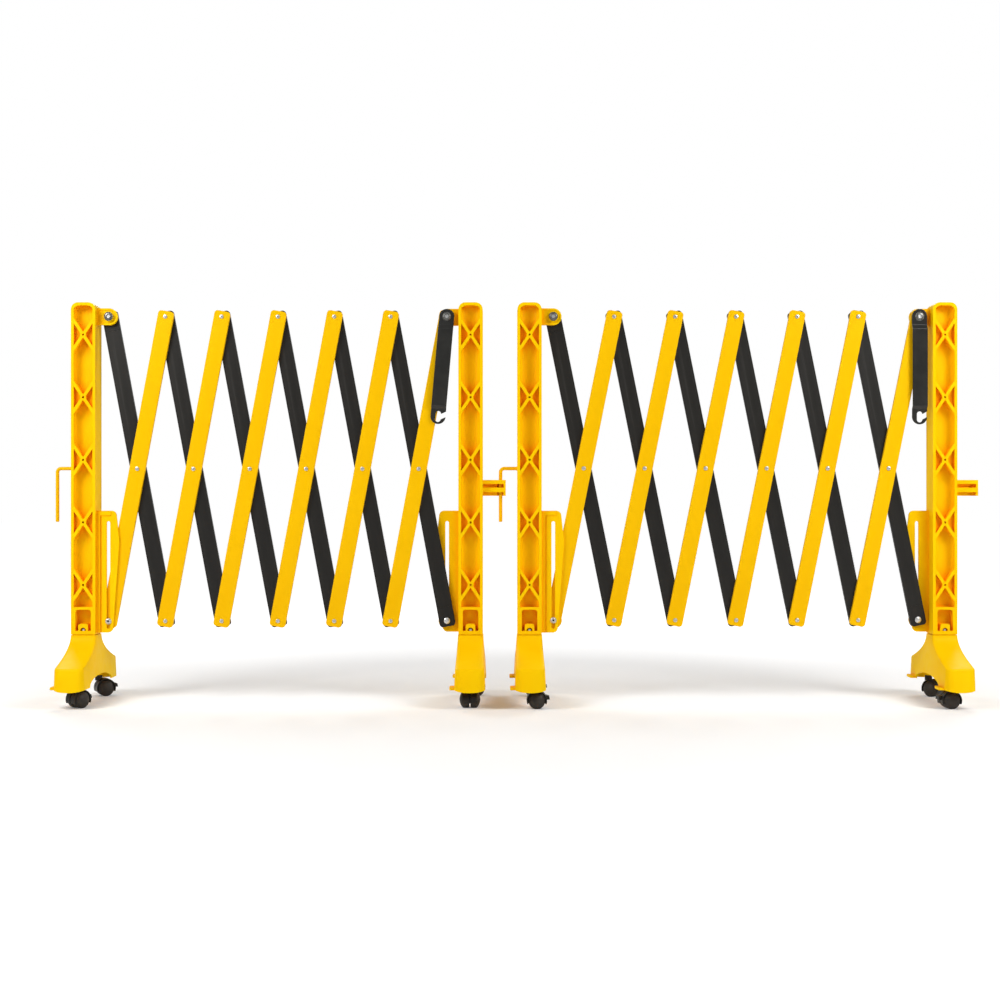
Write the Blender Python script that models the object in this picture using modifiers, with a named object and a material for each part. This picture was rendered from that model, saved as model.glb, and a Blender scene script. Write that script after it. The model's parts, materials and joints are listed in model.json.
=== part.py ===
"""Two linked sections of an expanding scissor barrier on casters. Metres, +Z up, the front faces -Y.

Each section is a lattice of yellow bars in front of black bars, between two ribbed posts on flared feet.
The bars' top ends turn on bolts in the posts' ears, and the outermost bottom ends slide in slotted flanges.
An L-shaped pin on the right section's left post hangs in a socket on the left section's right post.
"""

import math

import bmesh
import bpy
from mathutils import Matrix, Vector

MM = 0.001
CLEARANCE = 0.3 * MM  # between pieces that seat on, or turn in, one another
WELD = 0.001 * MM

# Scissor lattice
CELLS = 6
BAR_LENGTH = 741 * MM  # pivot to pivot
BAR_WIDTH = 38 * MM
BAR_THICKNESS = 10 * MM
BAR_OVERHANG = 14 * MM  # past each end pivot
BAR_CORNER = 8 * MM
LEAN = {"a": math.radians(10.48), "b": math.radians(11.36)}  # of the bars from upright, as they stand
LEAN_CLOSED = math.radians(3.1)
LEAN_OPEN = math.radians(48)

# Rivets, slide bolts and pivot bolts
SHANK_RADIUS = 4 * MM
RIVET_HEAD_RADIUS = 5.2 * MM
RIVET_HEAD_HEIGHT = 2.2 * MM
HEAD_ROOT = 1.5 * MM  # depth to which a fixed head is sunk into its bar
SLIDE_HEAD_RADIUS = 7.4 * MM
SLIDE_HEAD_HEIGHT = 4 * MM
PIVOT_HEAD_RADIUS = 10.7 * MM
PIVOT_HEAD_HEIGHT = 4 * MM
HOOK_NECK_RADIUS = 5 * MM
STRAP_WASHER_RADIUS = 8.7 * MM
NUT_RADIUS = 8 * MM
NUT_HEIGHT = 6 * MM
ROUND_SIDES = 8
HOLE_SIDES = 10

# Posts
POST_WIDTH = 58 * MM
POST_DEPTH = 60 * MM
POST_ABOVE_PIVOT = 32 * MM
POST_CORNER = 17 * MM
POST_RIM = 6.6 * MM
POST_WEB = 10 * MM
CROSS_COUNT = 5
CROSS_BELOW_TOP = 77 * MM
CROSS_ABOVE_SILL = 56 * MM
CROSS_RISE = 31 * MM  # half the height of a cross rib at the rims
CROSS_RIB = 5.4 * MM
CROSS_BOSS = 6.8 * MM  # radius, where the ribs meet
SIDE_POCKET_DEPTH = 18 * MM
SILL_HEIGHT = 63.5 * MM  # level rib over the bottom pocket, from the post's end
SILL_RIB = 6 * MM
SILL_POCKET_WIDTH = 37 * MM
SILL_CORNER = 7 * MM
TOP_BAY_CORNER = 18 * MM
TROUGH_POWER = 2.5  # 2 is a half ellipse, and more is squarer
TROUGH_STEPS = 6
BASE_RIM = 10 * MM  # under the bottom pocket
PIVOT_REACH = 28 * MM  # end pivots, from the post's inner face
EAR_RADIUS = 20 * MM
ROOT = 3 * MM  # depth to which the ear and flange run into the post's rim

# Slotted flange
FLANGE_THICKNESS = 5.5 * MM
FLANGE_TOP_WIDTH = 46 * MM
FLANGE_BULGE_WIDTH = 54 * MM
FLANGE_BOTTOM_WIDTH = 38 * MM
FLANGE_BULGE_DROP = 75 * MM
FLANGE_ABOVE_SLOT = 25 * MM
FLANGE_BELOW_SLOT = 9.6 * MM
FLANGE_CORNER = 12 * MM
SLOT_SPARE = 2 * MM  # slide bolt's room past each end of its travel
SLIDE_ABOVE_FOOT = 21 * MM  # slide bolt's axis when the barrier is closed

# Latch strap
LATCH_TILT = {"a": math.radians(5), "b": 0}  # from upright, as they hang
LATCH_WIDTH = 36 * MM
LATCH_THICKNESS = 3 * MM
LATCH_STEP = 6 * MM
LATCH_TOP_BEND = (20 * MM, 30 * MM)  # where the upper joggle starts and ends, below the pivot
LATCH_LOW_BEND = (26 * MM, 19 * MM)  # where the lower joggle starts and ends, above the hook
NOTCH_WIDTH = 13 * MM
NOTCH_LENGTH = 26 * MM
MOUTH_RISE = 6.5 * MM

# Link pin and socket
LINK_HEIGHT = 560 * MM
LINK_DROP = 128 * MM
LINK_RADIUS = 4.25 * MM
LINK_BEND = 9 * MM
LINK_REACH = 40 * MM
SOCKET_BELOW_LINK = 27.5 * MM
SOCKET_HOLE_REACH = 40.5 * MM
SOCKET_HOLE_RADIUS = 7 * MM
SOCKET_END = 14.5 * MM  # past the hole's axis
SOCKET_CAP = 5 * MM
SOCKET_WIDTH = 24 * MM
SOCKET_WEB = (-2.5 * MM, 9 * MM)  # its front and back, so that the pin shows from the front only
SOCKET_TOP_PLATE = 9.7 * MM
SOCKET_GROOVE = 8.6 * MM
SOCKET_LOW_PLATE = 11 * MM

# Feet
FOOT_TOP = 162.5 * MM
FOOT_SHOULDER = 95 * MM
FOOT_BOTTOM = 46 * MM
FOOT_TOP_DEPTH = 62 * MM
FOOT_DEPTH = 336 * MM
TOE_DRAFT = 3 * MM  # how far each end draws in up to the shoulder
FOOT_TOP_WIDTH = 60 * MM
FOOT_BOTTOM_WIDTH = 72 * MM
NECK_CORNER = 6 * MM  # at the top, opening evenly to the toe's corner at the bottom
TOE_CORNER = 20 * MM
FOOT_WALL = 4 * MM
UNDERSIDE_BOW = 5 * MM  # from the side walls' bottom edges down to the middle of each end's
SWEEP_STEPS = 6
ARCH_FROM_END = 65 * MM
ARCH_RISE = 22 * MM
LIP_LENGTH = 42 * MM
LIP_REACH = 11 * MM
LIP_HEIGHT = 6 * MM
LIP_FROM_END = 20 * MM

# Casters
CASTER_FROM_END = 50 * MM  # swivel axis, from the foot's end
STEM_RADIUS = 5 * MM
STEM_LENGTH = 40 * MM
BOSS_RADIUS = 10 * MM
NECK_RADIUS = 9 * MM
NECK_HEIGHT = 8.5 * MM  # over the hood's crown
WHEEL_RADIUS = 20 * MM
WHEEL_WIDTH = 13.5 * MM  # of the tread
WHEEL_DOME = 7 * MM
WHEEL_SIDES = 16
AXLE_RADIUS = 3.4 * MM
TRAIL = 15 * MM
HOOD_WALL = 2.2 * MM
HOOD_GAP = 1.3 * MM
HOOD_WEB = 6.8 * MM
HOOD_CHAMFER = 1.4 * MM
HOOD_SIDES = 20
HOOD_BELOW_AXLE = 8 * MM
LEVER_REACH = 7 * MM
LEVER_WIDTH = 20 * MM
LEVER_ANGLES = (math.radians(4), math.radians(34))
CASTER_HEADING = {  # degrees from +X that each caster trails to
    ("a", "left", "front"): 50,
    ("a", "left", "rear"): 27,
    ("a", "right", "front"): 90,
    ("a", "right", "rear"): 60,
    ("b", "left", "front"): 0,
    ("b", "left", "rear"): -20,
    ("b", "right", "front"): -175,
    ("b", "right", "rear"): -50,
}

# Heights and depths that follow
AXLE_HEIGHT = WHEEL_RADIUS * math.cos(math.pi / WHEEL_SIDES)  # a flat of the tread lies on the floor
POST_BOTTOM = FOOT_TOP + CLEARANCE
SLIDE_CLOSED = FOOT_TOP + SLIDE_ABOVE_FOOT
TOP_PIVOT = SLIDE_CLOSED + BAR_LENGTH * math.cos(LEAN_CLOSED)
SLIDE_OPEN = TOP_PIVOT - BAR_LENGTH * math.cos(LEAN_OPEN)
POST_TOP = TOP_PIVOT + POST_ABOVE_PIVOT
BAR_FACE = CLEARANCE + BAR_THICKNESS  # outer face of either plane of bars, from the middle
RIVET_FACE = BAR_FACE + RIVET_HEAD_HEIGHT
FLANGE_INNER = BAR_FACE + CLEARANCE
FLANGE_OUTER = FLANGE_INNER + FLANGE_THICKNESS
LATCH_INNER = RIVET_FACE + CLEARANCE
LATCH_OUTER = LATCH_INNER + LATCH_THICKNESS
LATCH_LENGTH = CELLS * BAR_LENGTH * math.sin(LEAN_CLOSED)  # the hook meets the far bolt when closed
HOOD_RADIUS = WHEEL_RADIUS + HOOD_GAP + HOOD_WALL
CROWN = AXLE_HEIGHT + HOOD_RADIUS
CASTER_SPREAD = FOOT_DEPTH - 2 * CASTER_FROM_END
ARCH_LENGTH = FOOT_DEPTH - 2 * ARCH_FROM_END
SHOULDER_DEPTH = FOOT_DEPTH - 2 * TOE_DRAFT
SOCKET_FLAT = SOCKET_HOLE_RADIUS * math.cos(math.pi / HOLE_SIDES)
LINK_SEAT = SOCKET_FLAT - LINK_RADIUS - CLEARANCE  # the pin bears on the far side of its hole
BOSS_BOTTOM = CROWN + NECK_HEIGHT + CLEARANCE

UPRIGHT = Matrix.Rotation(math.pi / 2, 4, "X")  # drawing X and Y become X and Z
SIDEWAYS = Matrix(((0, 0, 1, 0), (1, 0, 0, 0), (0, 1, 0, 0), (0, 0, 0, 1)))  # they become Y and Z


def clear_scene():
    for obj in list(bpy.data.objects):
        bpy.data.objects.remove(obj)


def collection(name):
    made = bpy.data.collections.new(name)
    bpy.context.scene.collection.children.link(made)
    return made


def principled(name, colour, roughness, metallic=0.0):
    material = bpy.data.materials.new(name)
    material.use_nodes = True
    shader = material.node_tree.nodes["Principled BSDF"]
    shader.inputs["Base Color"].default_value = (*colour, 1)
    shader.inputs["Roughness"].default_value = roughness
    shader.inputs["Metallic"].default_value = metallic
    return material


# Outlines, as lists of (x, y) points


def arc(x, y, radius, start, end, steps):
    """Points on a circle from one angle to another, both ends included."""
    angles = [start + (end - start) * step / steps for step in range(steps + 1)]
    return [(x + radius * math.cos(a), y + radius * math.sin(a)) for a in angles]


def circle(x, y, radius, sides):
    return arc(x, y, radius, 0, 2 * math.pi, sides)[:-1]


def bore(x, y, shaft_radius):
    """A hole whose flats clear a shaft all round."""
    return circle(x, y, bore_radius(shaft_radius), HOLE_SIDES)


def bore_radius(shaft_radius):
    return (shaft_radius + CLEARANCE) / math.cos(math.pi / HOLE_SIDES)


def slot(x, low, high, radius, steps=4):
    """An upright slot with round ends about (x, low) and (x, high)."""
    return arc(x, high, radius, 0, math.pi, steps) + arc(x, low, radius, math.pi, 2 * math.pi, steps)


def filleted(corners, steps=2):
    """An outline through (x, y, radius) corners, each rounded by an arc."""
    points = []
    for index, (x, y, radius) in enumerate(corners):
        corner = Vector((x, y))
        back = (Vector(corners[index - 1][:2]) - corner).normalized()
        ahead = (Vector(corners[(index + 1) % len(corners)][:2]) - corner).normalized()
        if radius == 0:
            points.append((x, y))
            continue
        half = back.angle(ahead) / 2
        centre = corner + (back + ahead).normalized() * radius / math.sin(half)
        first = corner + back * radius / math.tan(half) - centre
        last = corner + ahead * radius / math.tan(half) - centre
        for step in range(steps + 1):
            spoke = first.lerp(last, step / steps).normalized() * radius
            points.append(tuple(centre + spoke))
    return points


# Solids, as meshes


def helper(mesh_or_curve):
    """A hidden object that holds a shape while it is cut, joined or evaluated."""
    obj = bpy.data.objects.new("helper", mesh_or_curve)
    obj.hide_render = True
    obj.display_type = "WIRE"
    bpy.data.collections["cutters"].objects.link(obj)
    return obj


def evaluated(obj):
    """The object's evaluated mesh, welded and facing out. The object is removed."""
    bpy.context.view_layer.update()
    graph = bpy.context.evaluated_depsgraph_get()
    mesh = bpy.data.meshes.new_from_object(obj.evaluated_get(graph))
    bpy.data.objects.remove(obj)
    bm = bmesh.new()
    bm.from_mesh(mesh)
    bmesh.ops.remove_doubles(bm, verts=bm.verts, dist=WELD)
    bmesh.ops.recalc_face_normals(bm, faces=bm.faces)
    bm.to_mesh(mesh)
    bm.free()
    return mesh


def plate(loops, matrix, low, high):
    """A flat solid from closed outlines, rims with holes inside them, from low to high along its normal."""
    curve = bpy.data.curves.new("outline", "CURVE")
    curve.dimensions = "2D"
    curve.fill_mode = "BOTH"
    curve.extrude = (high - low) / 2
    for loop in loops:
        spline = curve.splines.new("POLY")
        spline.points.add(len(loop) - 1)
        for point, (x, y) in zip(spline.points, loop):
            point.co = (x, y, 0, 1)
        spline.use_cyclic_u = True
    mesh = evaluated(helper(curve))
    mesh.transform(matrix @ Matrix.Translation((0, 0, (low + high) / 2)))
    return mesh


def upright_plate(loops, front, back):
    """A plate drawn in X and Z, from y = front to y = back."""
    return plate(loops, UPRIGHT, -back, -front)


def turned(profile, sides, axis="Z"):
    """A solid of revolution from (radius, height) points, listed from the top down."""
    bm = bmesh.new()
    points = [bm.verts.new((radius, 0, height)) for radius, height in profile]
    for upper, lower in zip(points, points[1:]):
        bm.edges.new((upper, lower))
    mesh = bpy.data.meshes.new("profile")
    bm.to_mesh(mesh)
    bm.free()
    obj = helper(mesh)
    screw = obj.modifiers.new("Screw", "SCREW")
    screw.steps = screw.render_steps = sides
    screw.use_merge_vertices = True
    screw.merge_threshold = WELD
    solid = evaluated(obj)
    solid.transform(Matrix.Rotation(math.pi / sides, 4, "Z"))
    if axis == "Y":
        solid.transform(UPRIGHT.inverted())
    return solid


def box(low, high):
    bm = bmesh.new()
    bmesh.ops.create_cube(bm, size=1)
    size = Vector(high) - Vector(low)
    middle = (Vector(high) + Vector(low)) / 2
    bmesh.ops.transform(bm, verts=bm.verts, matrix=Matrix.LocRotScale(middle, None, size))
    mesh = bpy.data.meshes.new("box")
    bm.to_mesh(mesh)
    bm.free()
    return mesh


def cylinder(x, y, low, high, radius, sides):
    mesh = turned([(0, high), (radius, high), (radius, low), (0, low)], sides)
    mesh.transform(Matrix.Translation((x, y, 0)))
    return mesh


def lofted(rings):
    """A solid through rings of as many points each, listed from the bottom up."""
    bm = bmesh.new()
    loops = [[bm.verts.new(point) for point in ring] for ring in rings]
    for lower, upper in zip(loops, loops[1:]):
        for index in range(len(lower)):
            bm.faces.new((lower[index - 1], lower[index], upper[index], upper[index - 1]))
    bm.faces.new(list(reversed(loops[0])))
    bm.faces.new(loops[-1])
    mesh = bpy.data.meshes.new("loft")
    bm.to_mesh(mesh)
    bm.free()
    return mesh


def joined(meshes):
    """Shapes that lie apart, as one mesh to cut or join with."""
    bm = bmesh.new()
    for mesh in meshes:
        bm.from_mesh(mesh)
    together = bpy.data.meshes.new("joined")
    bm.to_mesh(together)
    bm.free()
    return together


def combined(base, *steps):
    """base after each (operation, mesh) step in turn."""
    obj = helper(base)
    others = [helper(mesh) for _, mesh in steps]
    for (operation, _), other in zip(steps, others):
        modifier = obj.modifiers.new(operation, "BOOLEAN")
        modifier.operation = operation
        modifier.object = other
    result = evaluated(obj)
    for other in others:
        bpy.data.objects.remove(other)
    return result


# Lattice bars. A bar hangs from its top pivot, at its origin, with its bottom pivot straight below


def bar_blank(front, back, hole_heights):
    half = BAR_WIDTH / 2
    top = BAR_OVERHANG
    bottom = -BAR_LENGTH - BAR_OVERHANG
    rim = filleted(
        [
            (half, top, BAR_CORNER),
            (-half, top, BAR_CORNER),
            (-half, bottom, BAR_CORNER),
            (half, bottom, BAR_CORNER),
        ]
    )
    holes = [bore(0, height, SHANK_RADIUS) for height in hole_heights]
    return upright_plate([rim, *holes], front, back)


def at_height(mesh, height):
    mesh.transform(Matrix.Translation((0, 0, height)))
    return mesh


def rivet():
    """Fixed in a front bar, with its tail formed behind the rear bar that turns on it."""
    tail = BAR_FACE + CLEARANCE
    return turned(
        [
            (0, tail + RIVET_HEAD_HEIGHT),
            (RIVET_HEAD_RADIUS, tail + RIVET_HEAD_HEIGHT),
            (RIVET_HEAD_RADIUS, tail),
            (SHANK_RADIUS, tail),
            (SHANK_RADIUS, HEAD_ROOT - BAR_FACE),
            (RIVET_HEAD_RADIUS, HEAD_ROOT - BAR_FACE),
            (RIVET_HEAD_RADIUS, -RIVET_FACE),
            (0, -RIVET_FACE),
        ],
        ROUND_SIDES,
        axis="Y",
    )


def slide_bolt(front):
    """Fixed in the bar that slides by a flange, in front of it or behind, with its head past the flange."""
    head = FLANGE_OUTER + CLEARANCE
    solid = turned(
        [
            (0, head + SLIDE_HEAD_HEIGHT),
            (SLIDE_HEAD_RADIUS, head + SLIDE_HEAD_HEIGHT),
            (SLIDE_HEAD_RADIUS, head),
            (SHANK_RADIUS, head),
            (SHANK_RADIUS, CLEARANCE + HEAD_ROOT),
            (SLIDE_HEAD_RADIUS, CLEARANCE + HEAD_ROOT),
            (SLIDE_HEAD_RADIUS, CLEARANCE - SLIDE_HEAD_HEIGHT),
            (0, CLEARANCE - SLIDE_HEAD_HEIGHT),
        ],
        ROUND_SIDES,
        axis="Y",
    )
    if front:
        solid.transform(Matrix.Rotation(math.pi, 4, "Z"))
    return solid


def bar_meshes():
    """Front and rear bars for the first cell, the middle cells and the last cell."""
    middle = -BAR_LENGTH / 2
    bottom = -BAR_LENGTH
    front = (-BAR_FACE, -CLEARANCE)
    rear = (CLEARANCE, BAR_FACE)
    rivets = {height: at_height(rivet(), height) for height in (0, middle, bottom)}
    front_slide = at_height(slide_bolt(front=True), bottom)
    rear_slide = at_height(slide_bolt(front=False), bottom)
    plain_front = bar_blank(*front, [])
    pierced_rear = bar_blank(*rear, [0, middle, bottom])
    return {
        ("yellow", "first"): combined(
            plain_front, ("UNION", joined([rivets[0], rivets[middle], front_slide]))
        ),
        ("yellow", "middle"): combined(plain_front, ("UNION", joined(rivets.values()))),
        ("yellow", "last"): combined(
            bar_blank(*front, [0]), ("UNION", joined([rivets[middle], rivets[bottom]]))
        ),
        ("black", "first"): pierced_rear,
        ("black", "middle"): pierced_rear,
        ("black", "last"): combined(bar_blank(*rear, [0, middle]), ("UNION", rear_slide)),
    }


# Posts, drawn as the left one, with the lattice on its +X side. The right one is the same, turned half round


def cross_heights():
    highest = POST_TOP - CROSS_BELOW_TOP
    lowest = POST_BOTTOM + SILL_HEIGHT + CROSS_ABOVE_SILL
    pitch = (highest - lowest) / (CROSS_COUNT - 1)
    return [highest - pitch * index for index in range(CROSS_COUNT)]


def side_pocket_outlines():
    """The three-cornered pockets on either side of each cross, as X and Z outlines."""
    half = POST_WIDTH / 2 - POST_RIM
    slant = math.hypot(half, CROSS_RISE)
    tip = CROSS_RIB / 2 * slant / CROSS_RISE
    reach = CROSS_RISE - CROSS_RIB / 2 * slant / half
    outlines = []
    for z in cross_heights():
        for side in (-1, 1):
            outlines.append([(side * tip, z), (side * half, z - reach), (side * half, z + reach)])
    return outlines


def bay_outlines():
    """The bays above, between and below the crosses, drawn wider than the trough that they are cut to."""
    half = POST_WIDTH / 2 - POST_RIM
    side = POST_WIDTH / 2 - POST_RIM / 2
    point = CROSS_RIB / 2 * math.hypot(half, CROSS_RISE) / half  # from the cross's middle
    foot = point + CROSS_RISE * side / half
    crosses = cross_heights()

    def under(z):
        """A bay's upper edge, below the cross at z, from right to left."""
        return [(side, z - foot), (0, z - point), (-side, z - foot)]

    def over(z):
        """A bay's lower edge, above the cross at z, from left to right."""
        return [(-side, z + foot), (0, z + point), (side, z + foot)]

    ceiling = POST_TOP - POST_RIM
    floor = POST_BOTTOM + SILL_HEIGHT + SILL_RIB / 2
    top_edge = [(side, ceiling, TOP_BAY_CORNER), (-side, ceiling, TOP_BAY_CORNER)]
    outlines = [filleted(top_edge + [(x, z, 0) for x, z in over(crosses[0])])]
    for upper, lower in zip(crosses, crosses[1:]):
        outlines.append(under(upper) + over(lower))
    outlines.append(under(crosses[-1]) + [(-side, floor), (side, floor)])
    return outlines


def sill_outline():
    """The square pocket under the sill."""
    side = SILL_POCKET_WIDTH / 2
    high = POST_BOTTOM + SILL_HEIGHT - SILL_RIB / 2
    low = POST_BOTTOM + BASE_RIM
    corners = [(side, high), (-side, high), (-side, low), (side, low)]
    return filleted([(x, z, SILL_CORNER) for x, z in corners])


def trough():
    """The hollow that the bays are cut to, along a post's front."""
    half = POST_WIDTH / 2 - POST_RIM
    front = -POST_DEPTH / 2
    depth = -POST_WEB / 2 - front
    section = [(half, front - POST_RIM)]
    for step in range(TROUGH_STEPS + 1):
        angle = math.pi * step / TROUGH_STEPS
        across = math.copysign(abs(math.cos(angle)) ** (2 / TROUGH_POWER), math.cos(angle))
        down = abs(math.sin(angle)) ** (2 / TROUGH_POWER)
        section.append((half * across, front + depth * down))
    section.append((-half, front - POST_RIM))
    return plate([section], Matrix.Identity(4), POST_BOTTOM, POST_TOP)


def pockets():
    """What the crosses, their bosses and the rims leave open on a post's front."""
    front = -POST_DEPTH / 2
    outside = front - POST_RIM
    bays = combined(upright_plate(bay_outlines(), outside - POST_RIM, 0), ("INTERSECT", trough()))
    sill = upright_plate([sill_outline()], outside, -POST_WEB / 2)
    sides = upright_plate(side_pocket_outlines(), outside, front + SIDE_POCKET_DEPTH)
    bosses = [circle(0, z, CROSS_BOSS, HOLE_SIDES) for z in cross_heights()]
    return combined(
        joined([bays, sill, sides]),
        ("DIFFERENCE", upright_plate(bosses, outside - POST_RIM, 0)),
    )


def ear():
    """The lug that the first rear bar hangs on, in the front bars' plane."""
    root = POST_WIDTH / 2 - ROOT
    x = POST_WIDTH / 2 + PIVOT_REACH
    rim = arc(x, TOP_PIVOT, EAR_RADIUS, -math.pi / 2, math.pi / 2, 6)
    rim += [(root, TOP_PIVOT + EAR_RADIUS), (root, TOP_PIVOT - EAR_RADIUS)]
    return upright_plate([rim, bore(x, TOP_PIVOT, SHANK_RADIUS)], -BAR_FACE, -CLEARANCE)


def flange():
    """The slotted plate in front of the first front bar's bottom end."""
    face = POST_WIDTH / 2
    root = face - ROOT
    slot_radius = SHANK_RADIUS + CLEARANCE
    slot_low = SLIDE_CLOSED - SLOT_SPARE
    slot_high = SLIDE_OPEN + SLOT_SPARE
    low = slot_low - slot_radius - FLANGE_BELOW_SLOT
    high = slot_high + slot_radius + FLANGE_ABOVE_SLOT
    rim = filleted(
        [
            (root, low, 0),
            (face + FLANGE_BOTTOM_WIDTH, low, FLANGE_CORNER),
            (face + FLANGE_BULGE_WIDTH, high - FLANGE_BULGE_DROP, FLANGE_BULGE_DROP / 2),
            (face + FLANGE_TOP_WIDTH, high, FLANGE_CORNER),
            (root, high, 0),
        ]
    )
    slide_slot = slot(face + PIVOT_REACH, slot_low, slot_high, slot_radius)
    return upright_plate([rim, slide_slot], -FLANGE_OUTER, -FLANGE_INNER)


def post_mesh():
    half = POST_WIDTH / 2
    front = -POST_DEPTH / 2
    rim = filleted(
        [
            (half, POST_TOP, POST_CORNER),
            (-half, POST_TOP, POST_CORNER),
            (-half, POST_BOTTOM, 0),
            (half, POST_BOTTOM, 0),
        ],
        steps=4,
    )
    front_pockets = pockets()
    rear_pockets = front_pockets.copy()
    rear_pockets.transform(Matrix.Rotation(math.pi, 4, "Z"))
    return combined(
        upright_plate([rim], front, -front),
        ("DIFFERENCE", front_pockets),
        ("DIFFERENCE", rear_pockets),
        ("UNION", ear()),
        ("UNION", flange()),
    )


def pivot_bolt_mesh(right):
    """The bolt and nut in a post's ear. The left one has a neck for the hook, and the right one a washer."""
    head = LATCH_OUTER + CLEARANCE
    seat = BAR_FACE + CLEARANCE
    under = LATCH_INNER - CLEARANCE if right else head
    collar = STRAP_WASHER_RADIUS if right else HOOK_NECK_RADIUS
    profile = [
        (0, seat + NUT_HEIGHT),
        (NUT_RADIUS, seat + NUT_HEIGHT),
        (NUT_RADIUS, seat),
        (SHANK_RADIUS, seat),
        (SHANK_RADIUS, -seat),
        (collar, -seat),
        (collar, -under),
    ]
    if right:
        profile += [(SHANK_RADIUS, -under), (SHANK_RADIUS, -head)]
    profile += [
        (PIVOT_HEAD_RADIUS, -head),
        (PIVOT_HEAD_RADIUS, -head - PIVOT_HEAD_HEIGHT / 2),
        (PIVOT_HEAD_RADIUS / 2, -head - PIVOT_HEAD_HEIGHT),
        (0, -head - PIVOT_HEAD_HEIGHT),
    ]
    return turned(profile, HOLE_SIDES, axis="Y")


def latch_mesh():
    """A strap with joggled ends, hung from its pivot at the origin. Its hook opens to +X."""
    half = LATCH_WIDTH / 2
    hook = -LATCH_LENGTH
    notch = NOTCH_WIDTH / 2
    notch_top = hook + NOTCH_LENGTH / 2 - notch
    notch_low = hook - NOTCH_LENGTH / 2 + notch
    mouth_top = notch_top + MOUTH_RISE
    mouth_low = notch_low + MOUTH_RISE
    rim = arc(0, 0, half, 0, math.pi, 8)
    rim += arc(0, hook, half, math.pi, math.tau + math.asin((mouth_low - hook) / half), 9)
    rim += arc(0, notch_low, notch, math.tau, math.pi, 6)
    rim += arc(0, notch_top, notch, math.pi, 0, 6)
    rim.append((half, mouth_top))
    reach = LATCH_OUTER + LATCH_STEP + LATCH_THICKNESS
    outline = upright_plate([rim, bore(0, 0, SHANK_RADIUS)], -reach, 0)
    low_bend = [hook + height for height in LATCH_LOW_BEND]
    bends = [
        (LATCH_INNER, half + LATCH_WIDTH),
        (LATCH_INNER, -LATCH_TOP_BEND[0]),
        (LATCH_INNER + LATCH_STEP, -LATCH_TOP_BEND[1]),
        (LATCH_INNER + LATCH_STEP, low_bend[0]),
        (LATCH_INNER, low_bend[1]),
        (LATCH_INNER, hook - LATCH_WIDTH),
    ]
    rear_side = [(-depth, z) for depth, z in bends]
    front_side = [(y - LATCH_THICKNESS, z) for y, z in reversed(rear_side)]
    strip = plate([rear_side + front_side], SIDEWAYS, -LATCH_WIDTH, LATCH_WIDTH)
    return combined(strip, ("INTERSECT", outline))


def link_pin_curve():
    """The L-shaped rod, drawn for the left post, whose axis is x = 0."""
    face = -POST_WIDTH / 2
    x = face - LINK_REACH
    bend = arc(x + LINK_BEND, LINK_HEIGHT - LINK_BEND, LINK_BEND, math.pi / 2, math.pi, 4)
    path = [(face - CLEARANCE, LINK_HEIGHT), *bend, (x, LINK_HEIGHT - LINK_DROP)]
    curve = bpy.data.curves.new("link_pin", "CURVE")
    curve.dimensions = "3D"
    curve.bevel_depth = LINK_RADIUS
    curve.bevel_resolution = 2
    curve.use_fill_caps = True
    spline = curve.splines.new("POLY")
    spline.points.add(len(path) - 1)
    for point, (x, z) in zip(spline.points, path):
        point.co = (x, 0, z, 1)
    return curve


def socket_mesh():
    """The ribbed arm with the link pin's hole, drawn for the right post, whose axis is x = 0."""
    face = POST_WIDTH / 2
    hole_x = face + SOCKET_HOLE_REACH
    end = hole_x + SOCKET_END
    half = SOCKET_WIDTH / 2
    top = LINK_HEIGHT - SOCKET_BELOW_LINK
    upper_groove = top - SOCKET_TOP_PLATE
    lower_groove = upper_groove - SOCKET_GROOVE - SOCKET_LOW_PLATE
    bottom = lower_groove - SOCKET_GROOVE
    web_front, web_back = SOCKET_WEB
    grooves = []
    for high, low in ((upper_groove, upper_groove - SOCKET_GROOVE), (lower_groove, bottom - SOCKET_GROOVE)):
        for front, back in ((-SOCKET_WIDTH, web_front), (web_back, SOCKET_WIDTH)):
            grooves.append(box((face - POST_RIM, front, low), (end - SOCKET_CAP, back, high)))
    hole = cylinder(hole_x, 0, bottom - SOCKET_GROOVE, top + SOCKET_GROOVE, SOCKET_HOLE_RADIUS, HOLE_SIDES)
    return combined(
        box((face + CLEARANCE, -half, bottom), (end, half, top)),
        ("DIFFERENCE", joined(grooves)),
        ("DIFFERENCE", hole),
    )


# Feet and casters


def foot_levels():
    """(height, half depth) up a foot: an upright toe, then a concave sweep in to the post."""
    levels = [(FOOT_BOTTOM - UNDERSIDE_BOW * 2, FOOT_DEPTH / 2)]
    for step in range(SWEEP_STEPS + 1):
        share = step / SWEEP_STEPS
        height = FOOT_SHOULDER + (FOOT_TOP - FOOT_SHOULDER) * share
        depth = FOOT_TOP_DEPTH + (SHOULDER_DEPTH - FOOT_TOP_DEPTH) * (1 - share) ** 2
        levels.append((height, depth / 2))
    return levels


def foot_ring(height, half_y, inset):
    """A foot's outline at one height, drawn in and down by the inset."""
    share = (height - FOOT_BOTTOM) / (FOOT_TOP - FOOT_BOTTOM)
    half_x = (FOOT_BOTTOM_WIDTH + (FOOT_TOP_WIDTH - FOOT_BOTTOM_WIDTH) * share) / 2 - inset
    half_y -= inset
    radius = TOE_CORNER + (NECK_CORNER - TOE_CORNER) * share - inset
    corners = [(half_x, half_y), (-half_x, half_y), (-half_x, -half_y), (half_x, -half_y)]
    outline = filleted([(x, y, radius) for x, y in corners])
    return [(x, y, height - inset) for x, y in outline]


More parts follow.
